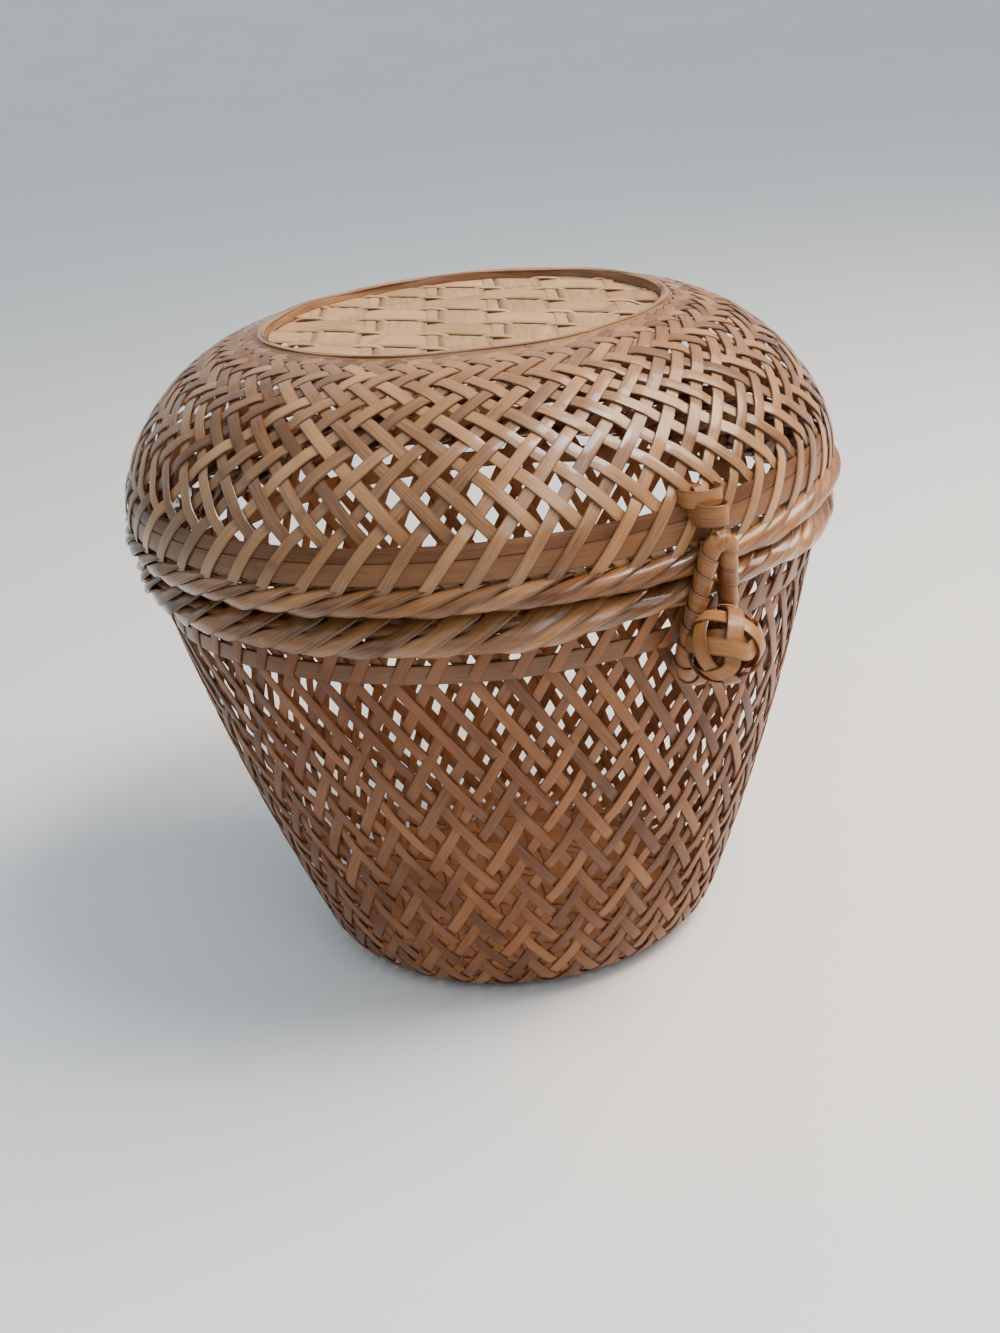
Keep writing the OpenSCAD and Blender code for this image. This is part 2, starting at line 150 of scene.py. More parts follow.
@dataclass
class Section:
    """A line of the basket's section that goes up its outside.

    Attributes:
        line: Radius and height of samples along it.
        length: Length along the line at each sample.
        normal: The way out at each sample, as parts away from the axis and up.
    """

    line: np.ndarray
    length: np.ndarray = field(init=False)
    normal: np.ndarray = field(init=False)

    def __post_init__(self) -> None:
        """Works out the length along the line and its outward normals."""
        self.length = run_length(self.line)
        heading = unit(np.gradient(self.line, axis=0))
        self.normal = np.stack([heading[:, 1], -heading[:, 0]], axis=1)

    def read(self, values: np.ndarray, s: np.ndarray) -> np.ndarray:
        """A value of each sample, read at lengths s along the line."""
        return np.interp(s, self.length, values)

    def point(self, s: np.ndarray, turn: np.ndarray, lift: np.ndarray) -> np.ndarray:
        """Points at length s, turned round the basket and lifted off the line.

        Args:
            s: Lengths along the line.
            turn: Turns round the basket.
            lift: Distances off the line, outwards.

        Returns:
            Points, one row each.
        """
        radius = self.read(self.line[:, 0], s) + lift * self.read(self.normal[:, 0], s)
        height = self.read(self.line[:, 1], s) + lift * self.read(self.normal[:, 1], s)
        return turned(turn, radius, height)

    def facing(self, s: np.ndarray, turn: np.ndarray) -> np.ndarray:
        """Outward normals at length s, turned round the basket."""
        return turned(turn, self.read(self.normal[:, 0], s), self.read(self.normal[:, 1], s))

    def at_height(self, z: float) -> float:
        """Length along the line at which its height is z."""
        return float(np.interp(z, self.line[:, 1], self.length))

    def radius_at(self, z: float) -> float:
        """Radius of the line at which its height is z."""
        return float(np.interp(z, self.line[:, 1], self.line[:, 0]))


class StripMesh:
    """Many flat strips gathered into one mesh, each with a crowned face and eased edges."""

    # Outline of a strip: place across from -1 to 1, and height in thicknesses.
    EDGE = np.array(
        [
            (-1.0, -0.15),
            (-0.93, 0.34),
            (-0.62, 0.5),
            (0.0, 0.56),
            (0.62, 0.5),
            (0.93, 0.34),
            (1.0, -0.15),
            (0.86, -0.5),
            (-0.86, -0.5),
        ]
    )
    # 1 for the points of that outline that lie on the strip's back.
    BACK = np.array([0.0, 0.0, 0.0, 0.0, 0.0, 0.0, 0.0, 1.0, 1.0])
    # Part of a crowned strip's bend that lies above its middle line.
    CROWN_MIDDLE = 0.4
    # Least angle between faces that shows as a sharp edge.
    CRISP = math.radians(40.0)

    def __init__(self) -> None:
        """Starts with no strips."""
        self.points: list[np.ndarray] = []
        self.marks: list[np.ndarray] = []
        self.backs: list[np.ndarray] = []
        self.faces: list[list[int]] = []
        self.count = 0

    def add_grid(self, grid: np.ndarray, along: np.ndarray, tone: float, closed: bool = False) -> None:
        """Adds one strip whose points are known.

        Args:
            grid: Points, as steps along the strip by points of EDGE by 3.
            along: Length along the strip at each step.
            tone: The strip's own shade, from 0 to 1.
            closed: Whether the strip's end meets its start.
        """
        steps, ring = grid.shape[:2]
        index = self.count + np.arange(steps * ring).reshape(steps, ring)
        here = index if closed else index[:-1]
        after = np.roll(index, -1, axis=0) if closed else index[1:]
        sides = [here, np.roll(here, -1, axis=1), np.roll(after, -1, axis=1), after]
        self.faces.extend(np.stack(sides, axis=-1).reshape(-1, 4).tolist())
        if not closed:
            self.faces.append(index[0, ::-1].tolist())
            self.faces.append(index[-1].tolist())
        marks = np.empty((steps, ring, 3))
        marks[..., 0] = along[:, None]
        marks[..., 1] = self.EDGE[None, :, 0]
        marks[..., 2] = tone
        self.points.append(grid.reshape(-1, 3))
        self.marks.append(marks.reshape(-1, 3))
        self.backs.append(np.tile(self.BACK, steps))
        self.count += steps * ring

    def add(
        self,
        middle: np.ndarray,
        facing: np.ndarray,
        width: np.ndarray | float,
        thickness: float,
        tone: float,
        tilt: float = 0.0,
        crown: float = 0.0,
        closed: bool = False,
    ) -> None:
        """Adds a strip along a line.

        Args:
            middle: Points along the strip's middle.
            facing: The way its face looks at each point.
            width: Its width, at each point or all along.
            thickness: Its thickness.
            tone: Its own shade, from 0 to 1.
            tilt: Turn about its own length, which lifts one edge.
            crown: How far its edges bend down from its middle.
            closed: Whether its end meets its start.
        """
        if closed:
            tangent = unit(np.roll(middle, -1, axis=0) - np.roll(middle, 1, axis=0))
        else:
            tangent = unit(np.gradient(middle, axis=0))
        across = unit(np.cross(tangent, facing))
        up = np.cross(across, tangent)
        side = across * math.cos(tilt) + up * math.sin(tilt)
        lift = up * math.cos(tilt) - across * math.sin(tilt)
        half = np.broadcast_to(np.asarray(width, float) / 2.0, (len(middle),))
        arch = thickness * self.EDGE[:, 1] + crown * (self.CROWN_MIDDLE - self.EDGE[:, 0] ** 2)
        grid = (
            middle[:, None, :]
            + side[:, None, :] * (half[:, None] * self.EDGE[None, :, 0])[..., None]
            + lift[:, None, :] * arch[None, :, None]
        )
        self.add_grid(grid, run_length(middle), tone, closed)

    def build(self, name: str, material: bpy.types.Material) -> bpy.types.Object:
        """Makes the strips into one object.

        Args:
            name: The object's name.
            material: Its material.

        Returns:
            The object, linked to the scene.
        """
        mesh = bpy.data.meshes.new(name)
        mesh.from_pydata(np.concatenate(self.points).tolist(), [], self.faces)
        marks = mesh.attributes.new(MARKS, "FLOAT_VECTOR", "POINT")
        marks.data.foreach_set("vector", np.concatenate(self.marks).astype(np.float32).ravel())
        backs = mesh.attributes.new(BACKS, "FLOAT", "POINT")
        backs.data.foreach_set("value", np.concatenate(self.backs).astype(np.float32))
        mesh.shade_smooth()
        mesh.set_sharp_from_angle(angle=self.CRISP)
        mesh.materials.append(material)
        made = bpy.data.objects.new(name, mesh)
        bpy.context.scene.collection.objects.link(made)
        return made


class NodeKit:
    """Short ways to place nodes in one tree."""

    # Middle of a value that goes from 0 to 1.
    MIDDLE = 0.5
    # Places of the colour sockets among those of a Mix node: part, first, second and result.
    MIX_PART, MIX_A, MIX_B, MIX_RESULT = 0, 6, 7, 2

    def __init__(self, tree: bpy.types.NodeTree) -> None:
        """Takes the tree that nodes go into."""
        self.tree = tree

    def node(self, kind: str, **values: object) -> bpy.types.Node:
        """Places a node.

        Args:
            kind: The node's type.
            values: Its own values by name.

        Returns:
            The node.
        """
        made = self.tree.nodes.new(kind)
        for name, value in values.items():
            setattr(made, name, value)
        return made

    def feed(self, socket: bpy.types.NodeSocket, value: object) -> None:
        """Links a socket to an output, or sets it to a number or colour.

        Args:
            socket: The socket that is fed.
            value: The output, number or colour.
        """
        if isinstance(value, bpy.types.NodeSocket):
            self.tree.links.new(value, socket)
        else:
            socket.default_value = value

    def outcome(self, kind: str, given: tuple, **values: object) -> bpy.types.NodeSocket:
        """Places a node and feeds its first inputs.

        Args:
            kind: The node's type.
            given: A number or output for each of its first inputs.
            values: Its own values by name.

        Returns:
            Its first output.
        """
        made = self.node(kind, **values)
        for socket, value in zip(made.inputs, given):
            self.feed(socket, value)
        return made.outputs[0]

    def math(self, operation: str, *given: object) -> bpy.types.NodeSocket:
        """The outcome of a Math node's operation on up to three numbers or outputs."""
        return self.outcome("ShaderNodeMath", given, operation=operation)

    def vary(self, value: object, by: object, base: object = 0.0) -> bpy.types.NodeSocket:
        """The base, moved by a value's distance from its middle times by."""
        return self.math("MULTIPLY_ADD", self.math("SUBTRACT", value, self.MIDDLE), by, base)

    def ramp(self, value: object, span: Pair, ends: Pair = (0.0, 1.0)) -> bpy.types.NodeSocket:
        """A rounded ramp between two ends, as the value goes over the span."""
        return self.outcome("ShaderNodeMapRange", (value, *span, *ends), interpolation_type="SMOOTHSTEP")

    def vector(self, x: object, y: object, z: object) -> bpy.types.NodeSocket:
        """A vector of three numbers or outputs."""
        return self.outcome("ShaderNodeCombineXYZ", (x, y, z))

    def noise(
        self, vector: object, scale: float, detail: float, rough: float = 0.5
    ) -> bpy.types.NodeSocket:
        """A noise value from 0 to 1.

        Args:
            vector: Where it is read.
            scale: Cells to each unit of the vector.
            detail: Number of finer layers.
            rough: How strong the finer layers are.

        Returns:
            The value's output.
        """
        made = self.node("ShaderNodeTexNoise")
        for name, value in (("Vector", vector), ("Scale", scale), ("Detail", detail), ("Roughness", rough)):
            self.feed(made.inputs[name], value)
        return made.outputs["Fac"]

    def mix(self, part: object, a: object, b: object, blend: str = "MIX") -> bpy.types.NodeSocket:
        """A colour between two.

        Args:
            part: 0 for the first colour, 1 for the second.
            a: First colour.
            b: Second colour.
            blend: The Mix node's way to blend.

        Returns:
            The colour's output.
        """
        made = self.node("ShaderNodeMix", data_type="RGBA", blend_type=blend)
        for place, value in ((self.MIX_PART, part), (self.MIX_A, a), (self.MIX_B, b)):
            self.feed(made.inputs[place], value)
        return made.outputs[self.MIX_RESULT]


class Groups:
    """The shader node groups that the finishes share, each built once."""

    # Fibres: noise cells to the metre along a strip and to half its width, finer layers, and how
    # much they change shade and roughness.
    FIBRE_ALONG = 90.0
    FIBRE_ACROSS = 7.0
    FIBRE_DETAIL = 4.0
    FIBRE_ROUGH = 0.62
    FIBRE_SHADE = 1.7
    FIBRE_DULL = 0.3
    # Slow changes of shade: noise cells to the metre along a strip, finer layers and strength, and
    # how far a strip's own shade moves it in the noise.
    SLOW_ALONG = 26.0
    SLOW_DETAIL = 2.0
    SLOW_SHADE = 1.3
    TONE_SHIFT = 91.0
    # Knuckles: number to the metre, half width as part of their distance, darkening and height.
    KNUCKLES = 5.2
    KNUCKLE_SPAN = (0.0, 0.012)
    KNUCKLE_SHADE = 0.45
    KNUCKLE_RIDGE = 0.5
    # Edges: the part of half a strip's width where they darken, which paints shade where neighbouring
    # strips meet along with the strips' own darker edges, and the colour that edges and knuckles darken
    # towards.
    EDGE_SPAN = (0.7, 1.0)
    SHADE_AND_KNUCKLE_PART = 0.72
    SHADE_AND_KNUCKLE_COLOUR = (0.05, 0.022, 0.009, 1.0)
    # Part of the dark fibres' colour in the pith's.
    PITH_DARK = 0.45
    # Patches of varnish: noise cells to the metre, finer layers, the spans of the noise over which
    # the stain comes and the coat goes, and the part of the coat that is left.
    PATCH_SCALE = 34.0
    PATCH_DETAIL = 3.0
    PATCH_ROUGH = 0.6
    STAIN_SPAN = (0.42, 0.72)
    COAT_SPAN = (0.3, 0.7)
    COAT_ENDS = (1.0, 0.15)
    # Specks: noise cells to the metre, finer layers, and how much they change roughness.
    SPECK_SCALE = 420.0
    SPECK_DETAIL = 2.0
    SPECK_DULL = 0.16

    def __init__(self) -> None:
        """Builds every group."""
        self.fibre = self.build_fibre()
        self.age = self.build_age()

    @staticmethod
    def start(name: str, inputs: dict[str, str], outputs: dict[str, str]) -> tuple[NodeKit, dict, dict]:
        """Starts a group with named sockets.

        Args:
            name: The group's name.
            inputs: Name and kind of each input.
            outputs: Name and kind of each output.
        """
        tree = bpy.data.node_groups.new(name, "ShaderNodeTree")
        for way, sockets in (("INPUT", inputs), ("OUTPUT", outputs)):
            for socket, kind in sockets.items():
                tree.interface.new_socket(socket, in_out=way, socket_type=f"NodeSocket{kind}")
        kit = NodeKit(tree)
        entry = kit.node("NodeGroupInput")
        leave = kit.node("NodeGroupOutput")
        return kit, dict(entry.outputs.items()), dict(leave.inputs.items())

    def build_fibre(self) -> bpy.types.NodeTree:
        """Split bamboo: fibres along the strip, slow changes of shade, knuckles, and dark edges that are
        partly painted shade where strips meet.

        Returns:
            The group.
        """
        numbers = dict.fromkeys(("Along", "Across", "Tone", "Edge", "Spread", "Back"), "Float")
        colours = dict.fromkeys(("Light", "Dark", "Pith"), "Color")
        kit, given, out = self.start(
            "bamboo_fibre", numbers | colours, {"Color": "Color", "Rough": "Float", "Height": "Float"}
        )
        shift = kit.math("MULTIPLY", given["Tone"], self.TONE_SHIFT)
        along = kit.math("MULTIPLY", given["Along"], self.FIBRE_ALONG)
        across = kit.math("MULTIPLY", given["Across"], self.FIBRE_ACROSS)
        fibre = kit.noise(kit.vector(along, across, shift), 1.0, self.FIBRE_DETAIL, self.FIBRE_ROUGH)
        drift = kit.math("MULTIPLY", given["Along"], self.SLOW_ALONG)
        slow = kit.noise(kit.vector(drift, shift, 0.0), 1.0, self.SLOW_DETAIL)
        turn = kit.math("FRACT", kit.math("MULTIPLY_ADD", given["Along"], self.KNUCKLES, given["Tone"]))
        apart = kit.math("ABSOLUTE", kit.math("SUBTRACT", turn, kit.MIDDLE))
        knuckle = kit.ramp(apart, self.KNUCKLE_SPAN, (1.0, 0.0))

        shade = kit.vary(given["Tone"], given["Spread"], kit.MIDDLE)
        shade = kit.vary(fibre, self.FIBRE_SHADE, shade)
        shade = kit.outcome("ShaderNodeClamp", (kit.vary(slow, self.SLOW_SHADE, shade),))
        base = kit.mix(shade, given["Dark"], given["Light"])
        # Dark edges: painted shade where neighbouring strips meet, along with the strips' own darker edges.
        side = kit.ramp(kit.math("ABSOLUTE", given["Across"]), self.EDGE_SPAN)
        edge_shade_and_knuckles = kit.math("MULTIPLY", side, given["Edge"])
        edge_shade_and_knuckles = kit.math("MAXIMUM", edge_shade_and_knuckles, kit.math("MULTIPLY", knuckle, self.KNUCKLE_SHADE))
        base = kit.mix(edge_shade_and_knuckles, base, kit.mix(self.SHADE_AND_KNUCKLE_PART, base, self.SHADE_AND_KNUCKLE_COLOUR))
        pith = kit.mix(shade, kit.mix(self.PITH_DARK, given["Pith"], given["Dark"]), given["Pith"])

        kit.feed(out["Color"], kit.mix(given["Back"], base, pith))
        kit.feed(out["Rough"], kit.vary(fibre, self.FIBRE_DULL))
        kit.feed(out["Height"], kit.math("MULTIPLY_ADD", knuckle, self.KNUCKLE_RIDGE, fibre))
        return kit.tree

    def build_age(self) -> bpy.types.NodeTree:
        """Handling and old varnish: patches of warmer, darker and duller surface in space.

        Returns:
            The group.
        """
        kit, given, out = self.start(
            "old_varnish",
            {"Color": "Color", "Stain": "Color", "Amount": "Float", "Rough": "Float", "Gloss": "Float"},
            {"Color": "Color", "Rough": "Float", "Coat": "Float"},
        )
        place = kit.node("ShaderNodeTexCoord").outputs["Object"]
        patch = kit.noise(place, self.PATCH_SCALE, self.PATCH_DETAIL, self.PATCH_ROUGH)
        speck = kit.noise(place, self.SPECK_SCALE, self.SPECK_DETAIL)
        stain = kit.math("MULTIPLY", kit.ramp(patch, self.STAIN_SPAN), given["Amount"])
        coat = kit.math("MULTIPLY", kit.ramp(patch, self.COAT_SPAN, self.COAT_ENDS), given["Gloss"])
        kit.feed(out["Color"], kit.mix(stain, given["Color"], given["Stain"], "MULTIPLY"))
        kit.feed(out["Rough"], kit.vary(speck, self.SPECK_DULL, given["Rough"]))
        kit.feed(out["Coat"], coat)
        return kit.tree


@dataclass(frozen=True)
class BambooFinish:
    """A finish for bamboo strips or cane.

    Attributes:
        name: The material's name.
        light: Triple of the pale fibres.
        dark: Triple of the dark fibres.
        stain: Triple that old varnish multiplies in.
        pith: Triple of the unvarnished back of a strip.
        edge: How dark the strip's edges are, partly their own darker edges and partly painted shade where
            strips meet.
        spread: How much strips differ in shade.
        rough: Roughness.
        aged: How much the varnish has stained.
        gloss: How thick the varnish is where it is whole.
        marked: Whether the mesh carries strip marks.
    """

    name: str
    light: Triple
    dark: Triple
    stain: Triple = (0.62, 0.45, 0.34)
    pith: Triple = (0.44, 0.19, 0.07)
    edge: float = 0.75
    spread: float = 0.9
    rough: float = 0.38
    aged: float = 0.5
    gloss: float = 0.25
    marked: bool = True

    # Fibres to the metre across a mesh without marks, and its shade.
    CANE_FIBRES = 400.0
    CANE_TONE = 0.5
    BUMP = {"Strength": 0.22, "Distance": 0.25 * MM}
    # What the shader of every finish is set to: varnish, sheen, and light that glows in the bamboo.
    SHADER = {
        "Coat Roughness": 0.15,
        "Specular IOR Level": 0.25,
        "Subsurface Weight": 0.3,
        "Subsurface Radius": (1.0, 0.42, 0.16),
        "Subsurface Scale": 1.2 * MM,
    }

    def place(self, kit: NodeKit) -> dict[str, object]:
        """Where the fibres run: length along, part across, shade and back of a strip.

        Args:
            kit: The material's kit.

        Returns:
            Outputs and numbers for the fibre group, by its inputs.
        """
        split = kit.node("ShaderNodeSeparateXYZ")
        x, y, z = split.outputs
        if self.marked:
            marks = kit.node("ShaderNodeAttribute", attribute_name=MARKS)
            backs = kit.node("ShaderNodeAttribute", attribute_name=BACKS)
            kit.feed(split.inputs[0], marks.outputs["Vector"])
            return {"Along": x, "Across": y, "Tone": z, "Back": backs.outputs["Fac"], "Edge": self.edge}
        kit.feed(split.inputs[0], kit.node("ShaderNodeTexCoord").outputs["Object"])
        across = kit.math("FRACT", kit.math("MULTIPLY", z, self.CANE_FIBRES))
        return {"Along": kit.math("ADD", x, y), "Across": across, "Tone": self.CANE_TONE}

    def build(self, groups: Groups) -> bpy.types.Material:
        """Makes the material.

        Args:
            groups: The shared node groups.

        Returns:
            The material.
        """
        made = bpy.data.materials.new(self.name)
        made.use_nodes = True
        kit = NodeKit(made.node_tree)
        shader = made.node_tree.nodes["Principled BSDF"]
        fibre = kit.node("ShaderNodeGroup", node_tree=groups.fibre)
        age = kit.node("ShaderNodeGroup", node_tree=groups.age)
        bump = kit.node("ShaderNodeBump")
        strip = {
            "Light": (*self.light, 1.0),
            "Dark": (*self.dark, 1.0),
            "Pith": (*self.pith, 1.0),
            "Spread": self.spread,
        }
        varnish = {
            "Color": fibre.outputs["Color"],
            "Rough": kit.math("ADD", fibre.outputs["Rough"], self.rough),
            "Stain": (*self.stain, 1.0),
            "Amount": self.aged,
            "Gloss": self.gloss,
        }
        surface = {
            "Base Color": age.outputs["Color"],
            "Roughness": age.outputs["Rough"],
            "Coat Weight": age.outputs["Coat"],
            "Normal": bump.outputs["Normal"],
        }
        for node, given in (
            (fibre, strip | self.place(kit)),
            (age, varnish),
            (bump, {"Height": fibre.outputs["Height"]} | self.BUMP),
            (shader, surface | self.SHADER),
        ):
            for name, value in given.items():
                kit.feed(node.inputs[name], value)
        return made


class Finish(Enum):
    """The finishes of the basket's pieces."""

    WALL = BambooFinish("wall_bamboo", (0.275, 0.108, 0.037), (0.08, 0.024, 0.006), rough=0.48, gloss=0.2)
    DOME = BambooFinish("dome_bamboo", (0.4, 0.21, 0.09), (0.125, 0.052, 0.019), gloss=0.75)
    BASE = BambooFinish(
        "base_bamboo", (0.27, 0.105, 0.033), (0.1, 0.03, 0.008), edge=0.7, spread=0.5, rough=0.45
    )
    TOP = BambooFinish(
        "top_bamboo",
        (0.56, 0.35, 0.17),
        (0.29, 0.15, 0.06),
        pith=(0.5, 0.3, 0.14),
        edge=0.65,
        spread=0.6,
        rough=0.5,
        aged=0.25,
        gloss=0.1,
    )
    # Darker than the wall: partly painted shade, as the hoops lie under the strips that cross them.
    HOOP = BambooFinish("shaded_hoop_bamboo", (0.2, 0.084, 0.028), (0.075, 0.025, 0.008), edge=0.6)
    RIM = BambooFinish(
        "rim_bamboo",
        (0.36, 0.17, 0.062),
        (0.085, 0.028, 0.008),
        # Edges fully darkened: painted shade in the crevices between the rolled strips.
        edge=1.0,
        spread=0.7,
        rough=0.3,
        gloss=1.0,
    )
    CLASP = BambooFinish(
        "clasp_bamboo", (0.34, 0.15, 0.05), (0.13, 0.045, 0.012), edge=0.9, spread=0.6, rough=0.34
    )
    STRAP = BambooFinish("clasp_strap", (0.3, 0.13, 0.045), (0.12, 0.042, 0.012), gloss=0.1, marked=False)
    CANE = BambooFinish("cane", (0.22, 0.09, 0.03), (0.09, 0.03, 0.009), marked=False)


@dataclass
class Rim:
    """The cane ring inside a rolled rim.

    Attributes:
        radius: Radius of the ring, at the middle of its cane.
        height: Height of the ring.
    """

    radius: float
    height: float

    @classmethod
    def of_node(cls, node: str) -> Rim:
        """Reads the ring from the frame."""
        low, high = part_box(node)
        return cls(high.x - (high.z - low.z) / 2.0, (high.z + low.z) / 2.0)


@dataclass
class Weave:
    """Two slanted lays of strips that pass over and under each other.

    Attributes:
        section: The line midway between the lays.
        strips: Strips in each lay.
        width: Strip width at the start of the line.
        tip_width: Strip width at the end of the line.
        thickness: Strip thickness.
        depth: How far a strip lies off the middle line where it crosses another.
        hoop_depth: How far it lies off the line where a hoop is between the lays.
        step: Length between points along a strip, measured up the section.
        wander: How far a strip strays round the basket.
        waves: Least and most of that straying along a strip, in radians of a wave.
        starts: Least and most of the wave at which a strip starts.
        trim: Least and most of its width that a strip has.
        evenness: How alike the strips are in shade.
        leans: Parts of the line, and the strips' lean from upright there in degrees.
    """

    section: Section
    strips: int = 60
    width: float = 3.4 * MM
    tip_width: float = 3.4 * MM
    thickness: float = 0.5 * MM
    depth: float = 0.42 * MM
    hoop_depth: float = 0.75 * MM
    step: float = 1.1 * MM
    wander: float = math.radians(0.35)
    waves: Pair = (3.0, 8.0)
    starts: Pair = (0.0, 6.3)
    trim: Pair = (0.93, 1.06)
    evenness: float = 2.2
    leans: tuple[Pair, ...] = ()

    @property
    def pitch(self) -> float:
        """Turn from one strip to the next."""
        return FULL_TURN / self.strips

    def lean(self, part: np.ndarray) -> np.ndarray:
        """Lean of the strips from upright, at parts of the line from 0 to 1."""
        parts, degrees = zip(*self.leans)
        return np.radians(np.interp(part, parts, degrees))

    def lift(self, lay: Lay, s: np.ndarray, swing: np.ndarray, turn: np.ndarray) -> np.ndarray:
        """How far a strip lies off the middle line, which each weave works out in its own way."""
        raise NotImplementedError

    def swings(self, s: np.ndarray) -> np.ndarray:
        """How far a strip goes round the basket.

        Args:
            s: Lengths along the line.

        Returns:
            Turns round the basket from the start of the line.
        """
        radius = self.section.read(self.section.line[:, 0], s)
        rate = np.tan(self.lean(s / self.section.length[-1])) / radius
        gained = (rate[1:] + rate[:-1]) / 2.0 * np.diff(s)
        return np.concatenate([[0.0], np.cumsum(gained)])

    def build(self, lay: Lay, rng: np.random.Generator) -> StripMesh:
        """Lays the strips that lean one way.

        Args:
            lay: The way that they lean.
            rng: Source of small differences between strips.

        Returns:
            The strips.
        """
        mesh = StripMesh()
        total = float(self.section.length[-1])
        s = np.linspace(0.0, total, int(total / self.step))
        swing = self.swings(s)
        taper = np.interp(s / total, [0.0, 1.0], [self.width, self.tip_width])
        for index in range(self.strips):
            wave = s / total * rng.uniform(*self.waves) + rng.uniform(*self.starts)
            turn = index * self.pitch + lay.value * swing
            lift = self.lift(lay, s, swing, turn)
            middle = self.section.point(s, turn + self.wander * np.sin(wave), lift)
            width = taper * rng.uniform(*self.trim)
            tone = float(rng.beta(self.evenness, self.evenness))
            mesh.add(middle, self.section.facing(s, turn), width, self.thickness, tone)
        return mesh


@dataclass
class WallWeave(Weave):
    """The body's wall: an openwork twill in upright columns, with long floats under the hoop.

    Attributes:
        rim_swing: Swing below the rim over which the hoop lies between the lays.
        float_swing: Swing below the rim over which strips of the left lay float outside.
        step_swing: Half the swing over which a strip changes sides.
        shift: Place of the columns, in strips.
    """

    tip_width: float = 3.25 * MM
    leans: tuple[Pair, ...] = ((0.0, 40.0), (0.12, 34.0), (0.3, 31.0), (1.0, 30.0))
    rim_swing: float = math.radians(4.5)
    float_swing: float = math.radians(13.5)
    step_swing: float = math.radians(0.6)
    shift: float = 0.25

    def near_rim(self, down: np.ndarray, swing: float) -> np.ndarray:
        """1 where the swing down from the rim is less than a given one, 0 below."""
        return 1.0 - smooth_step(down, swing - self.step_swing, swing + self.step_swing)

    def lift(self, lay: Lay, s: np.ndarray, swing: np.ndarray, turn: np.ndarray) -> np.ndarray:
        """How far a strip lies off the middle line: in columns, then floats, then round the hoop.

        Args:
            lay: The way that the strip leans.
            s: Lengths along the line.
            swing: How far the strip has gone round the basket there.
            turn: Its turns round the basket there.

        Returns:
            Distances off the line, outwards.
        """
        column = self.depth * smooth_square(turn / self.pitch - self.shift)
        floats = self.near_rim(swing[-1] - swing, self.float_swing)
        hoop = self.near_rim(swing[-1] - swing, self.rim_swing)
        right = column * (1.0 - floats) - self.depth * floats
        right = right * (1.0 - hoop) + self.hoop_depth * hoop
        return lay.value * right


@dataclass
class DomeWeave(Weave):
    """The lid's dome: a twill in level rows, with the right lay outside the hoops at the rim.

    Attributes:
        row_start: Length up the dome at which the rows start.
        half_row: Half a row, in strips.
    """

    leans: tuple[Pair, ...] = (
        (0.0, 38.0),
        (0.3, 41.0),
        (0.55, 47.0),
        (0.8, 51.0),
        (0.93, 58.0),
        (1.0, 80.0),
    )
    row_start: float = 17.0 * MM
    half_row: float = 0.5

    def lift(self, lay: Lay, s: np.ndarray, swing: np.ndarray, turn: np.ndarray) -> np.ndarray:
        """How far a strip lies off the middle line, in rows that change with height.

        Args:
            lay: The way that the strip leans.
            s: Lengths along the line.
            swing: How far the strip has gone round the basket there.
            turn: Its turns round the basket there.

        Returns:
            Distances off the line, outwards.
        """
        rise = (swing - np.interp(self.row_start, s, swing)) / self.pitch
        rows = smooth_square(np.maximum(rise + self.half_row, 0.0))
        depth = np.interp(rise, [-self.half_row, self.half_row], [self.hoop_depth, self.depth])
        return lay.value * depth * rows


